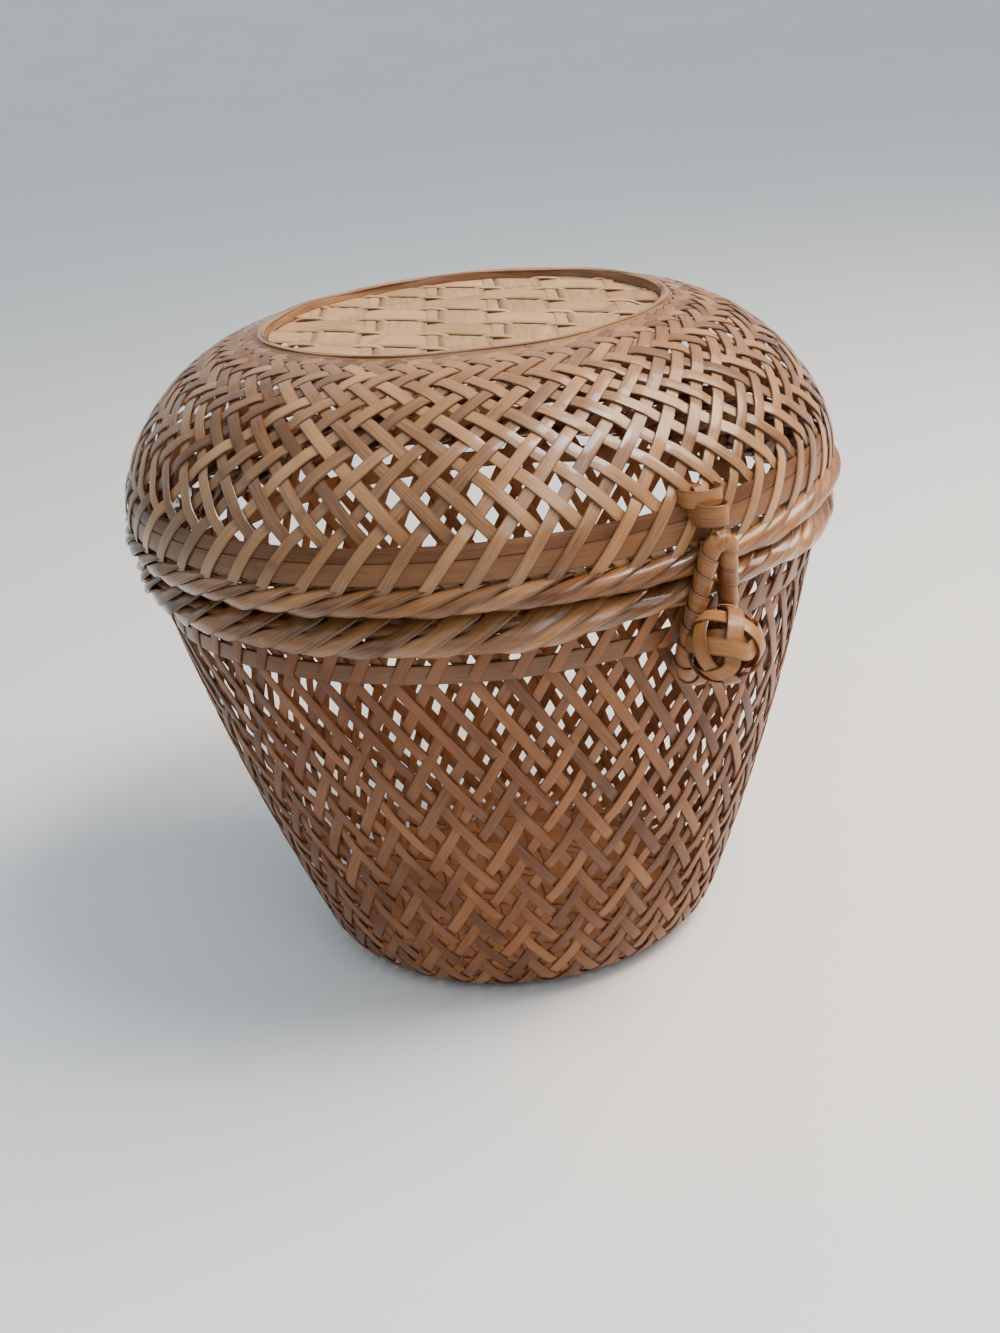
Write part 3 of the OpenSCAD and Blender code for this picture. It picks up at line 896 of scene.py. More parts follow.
@dataclass
class RolledRim:
    """A rim of strips rolled round a cane ring, each a slanted leaf that overlaps the next.

    Attributes:
        rim: The ring that they are rolled round.
        width: Width of a strip at its middle.
        rise: How far the roll's middle lies above the ring.
        crest_in: How far in from the ring the roll's top lies.
        crest_up: How far the top stands above an even roll.
        crest_wide: Part of its width that a strip gains at the top.
        lays: Number of strips.
        roll: Half the roll's thickness, in and out.
        tall: Half the roll's height.
        held: Turns round the basket at which something draws the roll tight.
        hold: Turn to each side of those over which it stays tight.
        loose: Turn to each side at which it is loose again.
        tight: Half the roll's height where it is tight.
        thickness: Thickness of a strip.
        reach: Strip pitches that a strip covers in half a turn round the roll.
        tilt: Tilt that lifts one edge over the neighbour.
        crown: How far a strip's edges bend down from its middle.
        swell: How far a strip stands off the roll at its middle.
        tip: Part of its width that a strip has at its ends.
        fullness: Power that shapes the leaf, less for a fuller one.
        low: Turn round the roll at which a strip starts, 0 facing out.
        high: Turn round the roll at which it ends.
        steps: Points along a strip.
        reaches: Least and most of the reach that a strip has.
        places: Least and most that a strip is out of place, in strip pitches.
        swells: Least and most that a whole strip stands off the roll.
        trim: Least and most of its width that a strip has.
        tilts: Least and most of the tilt that a strip has.
        evenness: How alike the strips are in shade.
    """

    rim: Rim
    width: float
    rise: float
    crest_in: float = 0.0
    crest_up: float = 0.0
    crest_wide: float = 0.0
    lays: int = 60
    roll: float = 3.1 * MM
    tall: float = 3.2 * MM
    held: tuple[float, ...] = (0.0, math.pi)
    hold: float = math.radians(12.0)
    loose: float = math.radians(30.0)
    tight: float = 3.0 * MM
    thickness: float = 0.9 * MM
    reach: float = 2.9
    tilt: float = math.radians(21.0)
    crown: float = 0.55 * MM
    swell: float = 0.3 * MM
    tip: float = 0.6
    fullness: float = 0.7
    low: float = math.radians(-150.0)
    high: float = math.radians(170.0)
    steps: int = 44
    reaches: Pair = (0.95, 1.05)
    places: Pair = (-0.1, 0.1)
    swells: Pair = (-0.2 * MM, 0.25 * MM)
    trim: Pair = (0.85, 1.08)
    tilts: Pair = (0.5, 1.6)
    evenness: float = 1.6

    def slack(self, turn: np.ndarray) -> np.ndarray:
        """How loosely the strips are rolled.

        Args:
            turn: Turns round the basket.

        Returns:
            0 where the strips are held, 1 where they are loose.
        """
        slack = np.ones_like(turn)
        for held in self.held:
            apart = np.abs((turn - held + math.pi) % FULL_TURN - math.pi)
            slack = np.minimum(slack, smooth_step(apart, self.hold, self.loose))
        return slack

    def build(self, rng: np.random.Generator) -> StripMesh:
        """Rolls the strips.

        Args:
            rng: Source of small differences between strips.

        Returns:
            The strips.
        """
        mesh = StripMesh()
        part = np.linspace(0.0, 1.0, self.steps)
        roll_turn = self.low + (self.high - self.low) * part
        arch = np.sin(np.pi * part)
        crest = np.maximum(np.sin(roll_turn), 0.0) ** 2
        leaf = (self.tip + (1.0 - self.tip) * arch**self.fullness) * (1.0 + self.crest_wide * crest)
        for index in range(self.lays):
            reach = self.reach * rng.uniform(*self.reaches)
            place = index + roll_turn / math.pi * reach + rng.uniform(*self.places)
            turn = FULL_TURN / self.lays * place
            slack = self.slack(turn)
            swell = (rng.uniform(*self.swells) + self.swell * arch) * slack
            tall = self.tight + (self.tall - self.tight) * slack
            out = (self.roll + swell) * np.cos(roll_turn) - self.crest_in * crest * slack
            up = (tall + swell) * np.sin(roll_turn) + (self.rise + self.crest_up * crest) * slack
            middle = turned(turn, self.rim.radius + out, self.rim.height + up)
            normal = unit(np.stack([np.gradient(up), -np.gradient(out)], axis=-1))
            facing = turned(turn, normal[:, 0], normal[:, 1])
            width = self.width * leaf * rng.uniform(*self.trim)
            tilt = self.tilt * rng.uniform(*self.tilts)
            tone = float(rng.beta(self.evenness, self.evenness))
            mesh.add(middle, facing, width, self.thickness, tone, tilt=tilt, crown=self.crown)
        return mesh


@dataclass
class Hoop:
    """A flat hoop between two lays.

    Attributes:
        section: The line that it lies on.
        low: Height of its lower edge.
        high: Height of its upper edge.
        tone: Its shade, from 0 to 1.
        thickness: Its thickness.
        wave: How far it wanders in and out.
        waves: Number round the hoop and start of each way that it wanders.
        steps: Points round it.
    """

    section: Section
    low: float
    high: float
    tone: float
    thickness: float = 0.8 * MM
    wave: float = 0.12 * MM
    waves: tuple[Pair, ...] = ((7.0, 0.0), (11.0, 1.0))
    steps: int = 240

    def build(self) -> StripMesh:
        """Bends the hoop.

        Returns:
            The hoop as one closed strip.
        """
        turn = np.linspace(0.0, FULL_TURN, self.steps, endpoint=False)
        s = np.full_like(turn, self.section.at_height((self.low + self.high) / 2.0))
        lift = sum(self.wave * np.sin(count * turn + start) for count, start in self.waves)
        width = self.section.at_height(self.high) - self.section.at_height(self.low)
        middle = self.section.point(s, turn, lift)
        mesh = StripMesh()
        mesh.add(middle, self.section.facing(s, turn), width, self.thickness, self.tone, closed=True)
        return mesh


@dataclass
class Mat:
    """A round mat of wide strips in two directions, with narrow strips between those of each lay.

    Attributes:
        radius: Radius that the strips are cut to.
        height: Height of the mat's middle.
        face: The side that it is seen from.
        turn: Turn of the whole mat about the upright axis.
        slant: Turn of the slanted lay from square to the straight one.
        width: Width of the wide strips of the straight lay.
        narrow: Width of its narrow strips.
        gap: Gap between its strips.
        pitch: Distance between the wide strips of the slanted lay.
        slant_width: Width of the wide strips of the slanted lay.
        slip_width: Width of its narrow strips.
        slip_depth: How far those lie off the middle.
        thickness: Thickness of a strip.
        depth: How far a strip lies off the middle where it crosses another.
        ease: How sharply the slanted strips bend.
        tip: Least half length of a strip's edge.
        evenness: How alike the strips are in shade.
        steps: Points along a strip.
    """

    radius: float
    height: float
    face: Face
    turn: float = math.radians(-31.5)
    slant: float = math.radians(-33.0)
    width: float = 14.0 * MM
    narrow: float = 3.4 * MM
    gap: float = 0.3 * MM
    pitch: float = 15.5 * MM
    slant_width: float = 12.8 * MM
    slip_width: float = 2.8 * MM
    slip_depth: float = 0.62 * MM
    thickness: float = 0.5 * MM
    depth: float = 0.42 * MM
    ease: float = 2.0
    tip: float = 0.5 * MM
    evenness: float = 2.0
    steps: int = 90

    # Place of a narrow strip from the wide one before it, in pitches.
    BETWEEN = 0.5

    @property
    def straight_pitch(self) -> float:
        """Distance between the wide strips of the straight lay."""
        return self.width + self.narrow + 2.0 * self.gap

    def straight_place(self, x: np.ndarray, y: np.ndarray) -> np.ndarray:
        """Place across the straight lay, in strips from its middle one."""
        return (x * math.cos(self.turn) + y * math.sin(self.turn)) / self.straight_pitch

    def slanted_place(self, x: np.ndarray, y: np.ndarray) -> np.ndarray:
        """Place across the slanted lay, in strips from its middle one."""
        way = self.turn + self.slant
        return (-x * math.sin(way) + y * math.cos(way)) / self.pitch

    def over_slanted(self, x: np.ndarray, y: np.ndarray, sign: float) -> np.ndarray:
        """Height of a wide straight strip, over every other slanted one."""
        return sign * self.depth * smooth_square(self.slanted_place(x, y))

    def under_slanted(self, x: np.ndarray, y: np.ndarray, sign: float) -> np.ndarray:
        """Height of a narrow straight strip, the other way round from the wide one before it."""
        return -self.over_slanted(x, y, sign)

    def under_straight(self, x: np.ndarray, y: np.ndarray, sign: float) -> np.ndarray:
        """Height of a wide slanted strip, under every other wide straight one."""
        return -sign * self.depth * smooth_square(self.straight_place(x, y), self.ease)

    def under_wide(self, x: np.ndarray, y: np.ndarray, sign: float) -> np.ndarray:
        """Height of a narrow slanted strip, under wide straight ones and over narrow ones."""
        return -self.slip_depth * smooth_square(self.straight_place(x, y) / self.BETWEEN, self.ease)

    def strip(self, offset: float, width: float, way: float) -> tuple[np.ndarray, np.ndarray, np.ndarray]:
        """A strip across the mat, cut to its round edge.

        Args:
            offset: Distance of the strip's middle from the mat's middle.
            width: Its width.
            way: Turn of its length from the Y axis.

        Returns:
            Its points' x and y on the mat, and the length along it at each step.
        """
        across = offset + width / 2.0 * StripMesh.EDGE[:, 0]
        reach = np.sqrt(np.maximum(self.radius**2 - across**2, self.tip**2))
        part = np.linspace(-1.0, 1.0, self.steps)
        along = part[:, None] * reach[None, :]
        x = across * math.cos(way) - along * math.sin(way)
        y = across * math.sin(way) + along * math.cos(way)
        return x, y, part * float(reach.max())

    def lay(
        self, way: float, pitch: float, kinds: tuple[tuple[float, Lift], ...], rng: np.random.Generator
    ) -> StripMesh:
        """Lays the strips of one direction.

        Args:
            way: Turn of the strips' length from the Y axis.
            pitch: Distance between the wide strips.
            kinds: Width and height off the mat's middle, for the wide strips and for the narrow ones.
            rng: Source of small differences between strips.

        Returns:
            The strips.
        """
        mesh = StripMesh()
        rows = int(self.radius / pitch) + 1
        face = self.face.value
        for row in range(-rows, rows + 1):
            sign = -1.0 if row % 2 else 1.0
            for index, (width, lift) in enumerate(kinds):
                offset = (row + index * self.BETWEEN) * pitch
                if abs(offset) + width / 2.0 < self.radius:
                    x, y, along = self.strip(offset, width, way)
                    z = lift(x, y, sign) + self.thickness * StripMesh.EDGE[None, :, 1]
                    grid = np.stack([x, face * y, self.height + face * z], axis=-1)
                    mesh.add_grid(grid, along, float(rng.beta(self.evenness, self.evenness)))
        return mesh

    def build_straight(self, rng: np.random.Generator) -> StripMesh:
        """The straight lay of wide and narrow strips, with small differences between them."""
        kinds = ((self.width, self.over_slanted), (self.narrow, self.under_slanted))
        return self.lay(self.turn, self.straight_pitch, kinds, rng)

    def build_slanted(self, rng: np.random.Generator) -> StripMesh:
        """The slanted lay of wide and narrow strips, with small differences between them."""
        kinds = ((self.slant_width, self.under_straight), (self.slip_width, self.under_wide))
        return self.lay(self.turn + self.slant - math.pi / 2.0, self.pitch, kinds, rng)


@dataclass(frozen=True)
class LipStrip:
    """One flat strip of the lip round the lid's woven top.

    Attributes:
        inward: Distance in from the lip's outer radius.
        drop: Drop from its top.
        tilt: How far the strip's face tilts outwards.
        width: Its width.
        tone: Its shade, from 0 to 1.
    """

    inward: float
    drop: float
    tilt: float
    width: float
    tone: float


@dataclass
class TopLip:
    """The lip round the lid's woven top: flat strips laid one over the other round the hoop.

    Attributes:
        radius: Outer radius.
        top: Height of its upper edge.
        strips: The strips, from the outermost.
        thickness: Thickness of a strip.
        wave: How far a strip wanders in and out.
        level_wave: Part of that by which it wanders up and down.
        slow_waves: Slow waves round the outermost strip, one more for each further strip.
        quick_waves: Quick waves round it, one less for each further strip.
        quick_start: Where the quick waves start.
        level_waves: Waves up and down round it, two more for each further strip.
        steps: Points round a strip.
    """

    radius: float
    top: float
    strips: tuple[LipStrip, ...] = (
        LipStrip(-0.6 * MM, 2.2 * MM, math.radians(52.0), 3.2 * MM, 0.7),
        LipStrip(0.5 * MM, 1.0 * MM, math.radians(28.0), 2.9 * MM, 0.5),
        LipStrip(1.5 * MM, 0.5 * MM, math.radians(-8.0), 2.2 * MM, 0.8),
        LipStrip(2.3 * MM, 1.9 * MM, math.radians(-78.0), 3.2 * MM, 0.2),
    )
    thickness: float = 0.5 * MM
    wave: float = 0.16 * MM
    level_wave: float = 0.6
    slow_waves: int = 5
    quick_waves: int = 9
    quick_start: float = 2.0
    level_waves: int = 7
    steps: int = 240

    def build(self) -> StripMesh:
        """Lays the strips.

        Returns:
            The strips, each closed.
        """
        turn = np.linspace(0.0, FULL_TURN, self.steps, endpoint=False)
        mesh = StripMesh()
        for index, strip in enumerate(self.strips):
            slow = np.sin((self.slow_waves + index) * turn + index)
            quick = np.sin((self.quick_waves - index) * turn + self.quick_start)
            level = self.level_wave * np.sin((self.level_waves + 2 * index) * turn)
            radius = self.radius - strip.inward + self.wave * (slow + quick)
            middle = turned(turn, radius, self.top - strip.drop + self.wave * level)
            facing = turned(turn, math.sin(strip.tilt), np.full_like(turn, math.cos(strip.tilt)))
            mesh.add(middle, facing, strip.width, self.thickness, strip.tone, closed=True)
        return mesh


@dataclass
class ClaspLoop:
    """The clasp's loop: a cane bent to a drop shape and wrapped all along.

    Attributes:
        pivot: Middle of the cane at the loop's narrow end.
        down: The way that the loop hangs.
        out: The way that it faces, out from the basket.
        across: The way from its left leg to its right one.
        length: Length of the loop.
        top_r: Radius of its narrow end.
        bottom_r: Radius of its wide end.
        wrap: Radius over the wrapping.
        pitch: Length of one turn of the wrapping.
        cover: Part of that length that the wrapping covers to each side of its middle.
        thickness: Thickness of the wrapping.
        lap: How far each turn's edge lifts over the last.
        tone: Shade of the wrapping, from 0 to 1.
        ahead: Length along the cane over which its heading is measured.
        arc_steps: Points round each end.
        turn_steps: Points to one turn of the wrapping.
    """

    pivot: np.ndarray
    down: np.ndarray
    out: np.ndarray
    across: Triple = (1.0, 0.0, 0.0)
    length: float = 40.0 * MM
    top_r: float = 3.0 * MM
    bottom_r: float = 7.4 * MM
    wrap: float = 2.3 * MM
    pitch: float = 5.2 * MM
    cover: float = 0.54
    thickness: float = 0.5 * MM
    lap: float = 0.28 * MM
    tone: float = 0.5
    ahead: float = 0.2 * MM
    arc_steps: int = 40
    turn_steps: int = 24

    def line(self) -> np.ndarray:
        """The middle of the cane.

        Returns:
            Points of a closed line, in parts across and down from the pivot.
        """
        low = self.length - self.bottom_r
        spread = math.asin((self.bottom_r - self.top_r) / (low - self.top_r))
        ends = []
        for y, r, start, sweep in (
            (self.top_r, self.top_r, math.pi + spread, math.pi - 2.0 * spread),
            (low, self.bottom_r, -spread, math.pi + 2.0 * spread),
        ):
            angle = start + np.linspace(0.0, sweep, self.arc_steps)
            ends.append(np.stack([r * np.cos(angle), y + r * np.sin(angle)], axis=1))
        return np.concatenate([*ends, ends[0][:1]])

    def build(self) -> StripMesh:
        """Wraps the cane.

        Returns:
            The wrapping as one strip.
        """
        line = self.line()
        length = run_length(line)
        total = length[-1]
        turns = round(total / self.pitch)
        part = np.linspace(0.0, 1.0, turns * self.turn_steps)
        edge = StripMesh.EDGE
        s = (part * total)[:, None] + self.cover * self.pitch * edge[None, :, 0]
        place, further = (
            np.stack([np.interp(along % total, length, line[:, k]) for k in (0, 1)], axis=-1)
            for along in (s, s + self.ahead)
        )
        heading = unit(further - place)
        side = np.stack([-heading[..., 1], heading[..., 0]], axis=-1)
        wind = FULL_TURN * turns * part
        radius = (self.wrap + self.lap * edge[:, 0] + self.thickness * edge[:, 1])[None, :, None]
        flat = place + radius * np.cos(wind)[:, None, None] * side
        grid = (
            self.pivot
            + flat[..., :1] * np.array(self.across)
            + flat[..., 1:] * self.down
            + radius * np.sin(wind)[:, None, None] * self.out
        )
        mesh = StripMesh()
        mesh.add_grid(grid, wind * self.wrap, self.tone)
        return mesh


@dataclass(frozen=True)
class Band:
    """A flat band over the straps that bind the clasp's loop.

    Attributes:
        rise: Height above the loop's pivot.
        left: Place of its left end.
        right: Place of its right end.
        reach: How far it stands out from the dome.
        width: Its width.
        tone: Its shade, from 0 to 1.
    """

    rise: float
    left: float
    right: float
    reach: float
    width: float
    tone: float


@dataclass
class Frapping:
    """Flat bands wound level over the straps that bind the clasp's loop.

    Attributes:
        section: The line of the dome that they lie against.
        level: Height of the loop's pivot.
        bands: The bands.
        thickness: Thickness of a band.
        slope: Rise of a band for each unit to the right.
        sweep: Turn from a band's middle to its end, which tucks in behind the straps.
        fullness: Power that shapes a band, less for a squarer one.
        steps: Points along a band.
    """

    section: Section
    level: float
    bands: tuple[Band, ...] = (
        Band(6.5 * MM, -4.2 * MM, 5.0 * MM, 7.8 * MM, 5.6 * MM, 0.4),
        Band(10.4 * MM, -5.6 * MM, 6.0 * MM, 5.4 * MM, 4.6 * MM, 0.7),
    )
    thickness: float = 0.55 * MM
    slope: float = -0.06
    sweep: float = math.radians(100.0)
    fullness: float = 0.7
    steps: int = 40

    def build(self) -> StripMesh:
        """Winds the bands.

        Returns:
            The bands.
        """
        mesh = StripMesh()
        turn = np.linspace(-self.sweep, self.sweep, self.steps)
        bulge = np.sign(np.cos(turn)) * np.abs(np.cos(turn)) ** self.fullness
        for band in self.bands:
            height = self.level + band.rise
            half = (band.right - band.left) / 2.0
            x = (band.left + band.right) / 2.0 + half * np.sin(turn)
            y = -(np.sqrt(self.section.radius_at(height) ** 2 - x**2) + band.reach * bulge)
            middle = np.stack([x, y, height + self.slope * x], axis=-1)
            level = np.zeros_like(turn)
            facing = np.stack([np.sin(turn) / half, -np.cos(turn) / band.reach, level], axis=-1)
            mesh.add(middle, unit(facing), band.width, self.thickness, band.tone)
        return mesh


@dataclass(frozen=True)
class KnotRound:
    """One endless strip of the clasp's knot.

    Attributes:
        part: Its radius as part of the knot's.
        leads: Times that it goes round the knot.
        bights: Times that it turns back at each end.
        reach: Turn from the knot's middle to where it turns back.
        tone: Its shade, from 0 to 1.
    """

    part: float
    leads: int
    bights: int
    reach: float
    tone: float


@dataclass
class BallKnot:
    """The clasp's knot: flat strips plaited into a hollow ball.

    Attributes:
        centre: Middle of the ball.
        axis: The way that its open end faces.
        radius: Radius of the ball, at the middle of its outer strip.
        width: Width of the strips.
        thickness: Thickness of the strips.
        depth: How far a strip lies off the ball where it crosses itself.
        rounds: The outer strip and the inner one.
        start: A way square to which the strips start.
        steps: Points along a strip.
    """

    centre: np.ndarray
    axis: np.ndarray
    radius: float = 9.3 * MM
    width: float = 4.4 * MM
    thickness: float = 0.55 * MM
    depth: float = 0.55 * MM
    rounds: tuple[KnotRound, ...] = (
        KnotRound(1.0, 4, 5, math.radians(58.0), 0.7),
        KnotRound(0.78, 3, 4, math.radians(50.0), 0.15),
    )
    start: Triple = (0.3, 0.1, 1.0)
    steps: int = 420

    def build(self) -> StripMesh:
        """Plaits the ball.

        Returns:
            The strips, each closed.
        """
        mesh = StripMesh()
        axis = unit(self.axis)
        first = unit(np.cross(axis, np.array(self.start)))
        second = np.cross(axis, first)
        for strip in self.rounds:
            turn = np.linspace(0.0, FULL_TURN * strip.leads, self.steps, endpoint=False)[:, None]
            wave = strip.bights * turn / strip.leads
            latitude = strip.reach * np.cos(wave)
            around = np.cos(turn) * first + np.sin(turn) * second
            facing = np.cos(latitude) * around + np.sin(latitude) * axis
            radius = strip.part * self.radius + self.depth * np.sin((strip.leads - 1) * wave)
            middle = self.centre + radius * facing
            mesh.add(middle, facing, self.width, self.thickness, strip.tone, closed=True)
        return mesh


@dataclass
class Viewpoint:
    """The photograph's camera.

    Attributes:
        distance: Distance from the basket's axis.
        height: Height above the surface that the basket stands on.
        azimuth: Turn of the camera round the basket from the clasp.
        pitch: How far it looks down.
        roll: How far it is rolled clockwise, seen from behind.
        focal: Focal length in pixels of the frame.
        frame: Width and height of the frame in pixels.
        sensor: Width of the sensor in millimetres.
        near: Distance at which the view starts.
    """

    distance: float = 0.473
    height: float = 0.2833
    azimuth: float = math.radians(-31.5)
    pitch: float = math.radians(23.08)
    roll: float = math.radians(6.0)
    focal: float = 1635.0
    frame: tuple[int, int] = (1000, 1333)
    sensor: float = 36.0
    near: float = 0.01

    def build(self) -> None:
        """Makes the camera and sets it as the scene's."""
        upright = Vector((0.0, 0.0, 1.0))
        ahead = Vector((-math.sin(self.azimuth), math.cos(self.azimuth), 0.0))
        right = ahead.cross(upright)
        look = ahead * math.cos(self.pitch) - upright * math.sin(self.pitch)
        up = right.cross(look)
        side = right * math.cos(self.roll) - up * math.sin(self.roll)
        top = right * math.sin(self.roll) + up * math.cos(self.roll)
        place = upright * self.height - ahead * self.distance
        data = bpy.data.cameras.new("viewpoint")
        data.sensor_width = self.sensor
        data.lens = self.sensor * self.focal / max(self.frame)
        data.clip_start = self.near
        made = bpy.data.objects.new("viewpoint", data)
        turn = Matrix((side, top, -look)).transposed()
        made.matrix_world = Matrix.Translation(place) @ turn.to_4x4()
        bpy.context.scene.collection.objects.link(made)
        bpy.context.scene.camera = made


@dataclass(frozen=True)
class Lamp:
    """A soft lamp.

    Attributes:
        name: The lamp's name.
        place: Where it stands.
        size: Width of its face.
        power: Power in watts.
        colour: Triple of its light.
    """

    name: str
    place: Triple
    size: float
    power: float
    colour: Triple

    def build(self, target: Vector) -> None:
        """Makes the lamp.

        Args:
            target: Where it looks.
        """
        data = bpy.data.lights.new(self.name, "AREA")
        data.size = self.size
        data.energy = self.power
        data.color = self.colour
        made = bpy.data.objects.new(self.name, data)
        made.location = self.place
        made.rotation_euler = (target - Vector(self.place)).to_track_quat("-Z", "Y").to_euler()
        bpy.context.scene.collection.objects.link(made)


@dataclass
class Studio:
    """A pale floor and soft light.

    Attributes:
        floor_colour: Triple of the floor.
        floor_dim: Part of that colour which its dimmer clouds have.
        floor_rough: Roughness of the floor.
        floor_size: Radius of the level floor.
        floor_rise: Radius of the curve in which it rises all round.
        floor_sweep: Turn of that curve.
        floor_rings: Rings of points on the curve.
        floor_sides: Points round a ring.
        cloud_scale: Noise cells to the metre of the floor.
        cloud_detail: Finer layers of that noise.
        sky: Triple of the light from all round.
        sky_strength: Strength of that light.
        target: Height of the point on the axis that the lamps look at.
        lamps: The lamps.
    """

    floor_colour: Triple = (0.8, 0.79, 0.77)
    floor_dim: float = 0.94
    floor_rough: float = 0.6
    floor_size: float = 4.0
    floor_rise: float = 4.0
    floor_sweep: float = math.radians(85.0)
    floor_rings: int = 20
    floor_sides: int = 96
    cloud_scale: float = 6.0
    cloud_detail: float = 3.0
    sky: Triple = (0.76, 0.9, 1.0)
    sky_strength: float = 0.88
    target: float = 0.1
    lamps: tuple[Lamp, ...] = (
        Lamp("window", (0.6, -0.35, 0.85), 0.6, 17.5, (1.0, 0.78, 0.58)),
        Lamp("skylight", (0.2, -0.47, 1.06), 0.3, 8.0, (0.93, 0.95, 1.0)),
        Lamp("fill", (-0.2, -0.9, 0.8), 0.5, 2.6, (0.95, 0.97, 1.0)),
    )

    def paint(self) -> bpy.types.Material:
        """Makes the floor's material.

        Returns:
            The material.
        """
        made = bpy.data.materials.new("floor_paint")
        made.use_nodes = True
        kit = NodeKit(made.node_tree)
        shader = made.node_tree.nodes["Principled BSDF"]
        place = kit.node("ShaderNodeTexCoord").outputs["Object"]
        cloud = kit.noise(place, self.cloud_scale, self.cloud_detail)
        pale = (*self.floor_colour, 1.0)
        dim = (*(self.floor_dim * part for part in self.floor_colour), 1.0)
        kit.feed(shader.inputs["Base Color"], kit.mix(cloud, dim, pale))
        shader.inputs["Roughness"].default_value = self.floor_rough
        return made

    def floor(self) -> None:
        """Makes the floor."""
        sweep = np.linspace(0.0, self.floor_sweep, self.floor_rings)[:, None]
        turn = np.linspace(0.0, FULL_TURN, self.floor_sides, endpoint=False)
        radius = self.floor_size + self.floor_rise * np.sin(sweep)
        height = self.floor_rise * (1.0 - np.cos(sweep))
        rings = np.broadcast_arrays(radius * np.cos(turn), radius * np.sin(turn), height)
        rings = np.stack(rings, axis=-1).reshape(-1, 3)
        index = np.arange(len(rings)).reshape(self.floor_rings, self.floor_sides)
        after = np.roll(index, -1, axis=1)
        sides = np.stack([index[:-1], after[:-1], after[1:], index[1:]], axis=-1)[:, :, ::-1]
        mesh = bpy.data.meshes.new("floor")
        mesh.from_pydata(rings.tolist(), [], [index[0].tolist(), *sides.reshape(-1, 4).tolist()])
        mesh.shade_smooth()
        mesh.materials.append(self.paint())
        made = bpy.data.objects.new("floor", mesh)
        bpy.context.scene.collection.objects.link(made)

    def build(self) -> None:
        """Makes the floor, the sky and the lamps."""
        self.floor()
        world = bpy.data.worlds.new("sky")
        world.use_nodes = True
        sky = world.node_tree.nodes["Background"]
        sky.inputs["Color"].default_value = (*self.sky, 1.0)
        sky.inputs["Strength"].default_value = self.sky_strength
        bpy.context.scene.world = world
        for lamp in self.lamps:
            lamp.build(Vector((0.0, 0.0, self.target)))


@dataclass
class Assembly:
    """Pieces that are built and dressed together.

    Attributes:
        materials: The material of each finish.
        rng: Source of small differences between strips.
    """

    materials: dict[Finish, bpy.types.Material]
    rng: np.random.Generator

    def dress(
        self, strips: StripMesh, name: str, finish: Finish, body: Body, slot: str, *nodes: str
    ) -> None:
        """Makes strips into a finished piece and hands it to the frame.

        Args:
            strips: The piece's strips.
            name: The piece's name.
            finish: Its finish.
            body: The body that it rides on.
            slot: The record's material slot; not used.
            nodes: The nodes that it stands for.
        """
        piece = strips.build(name, self.materials[finish])
        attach(piece, body.value)
        if nodes:
            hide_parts(*nodes)
        LOG.info("%s: %d points, on %s", piece.name, len(piece.data.vertices), body.value)


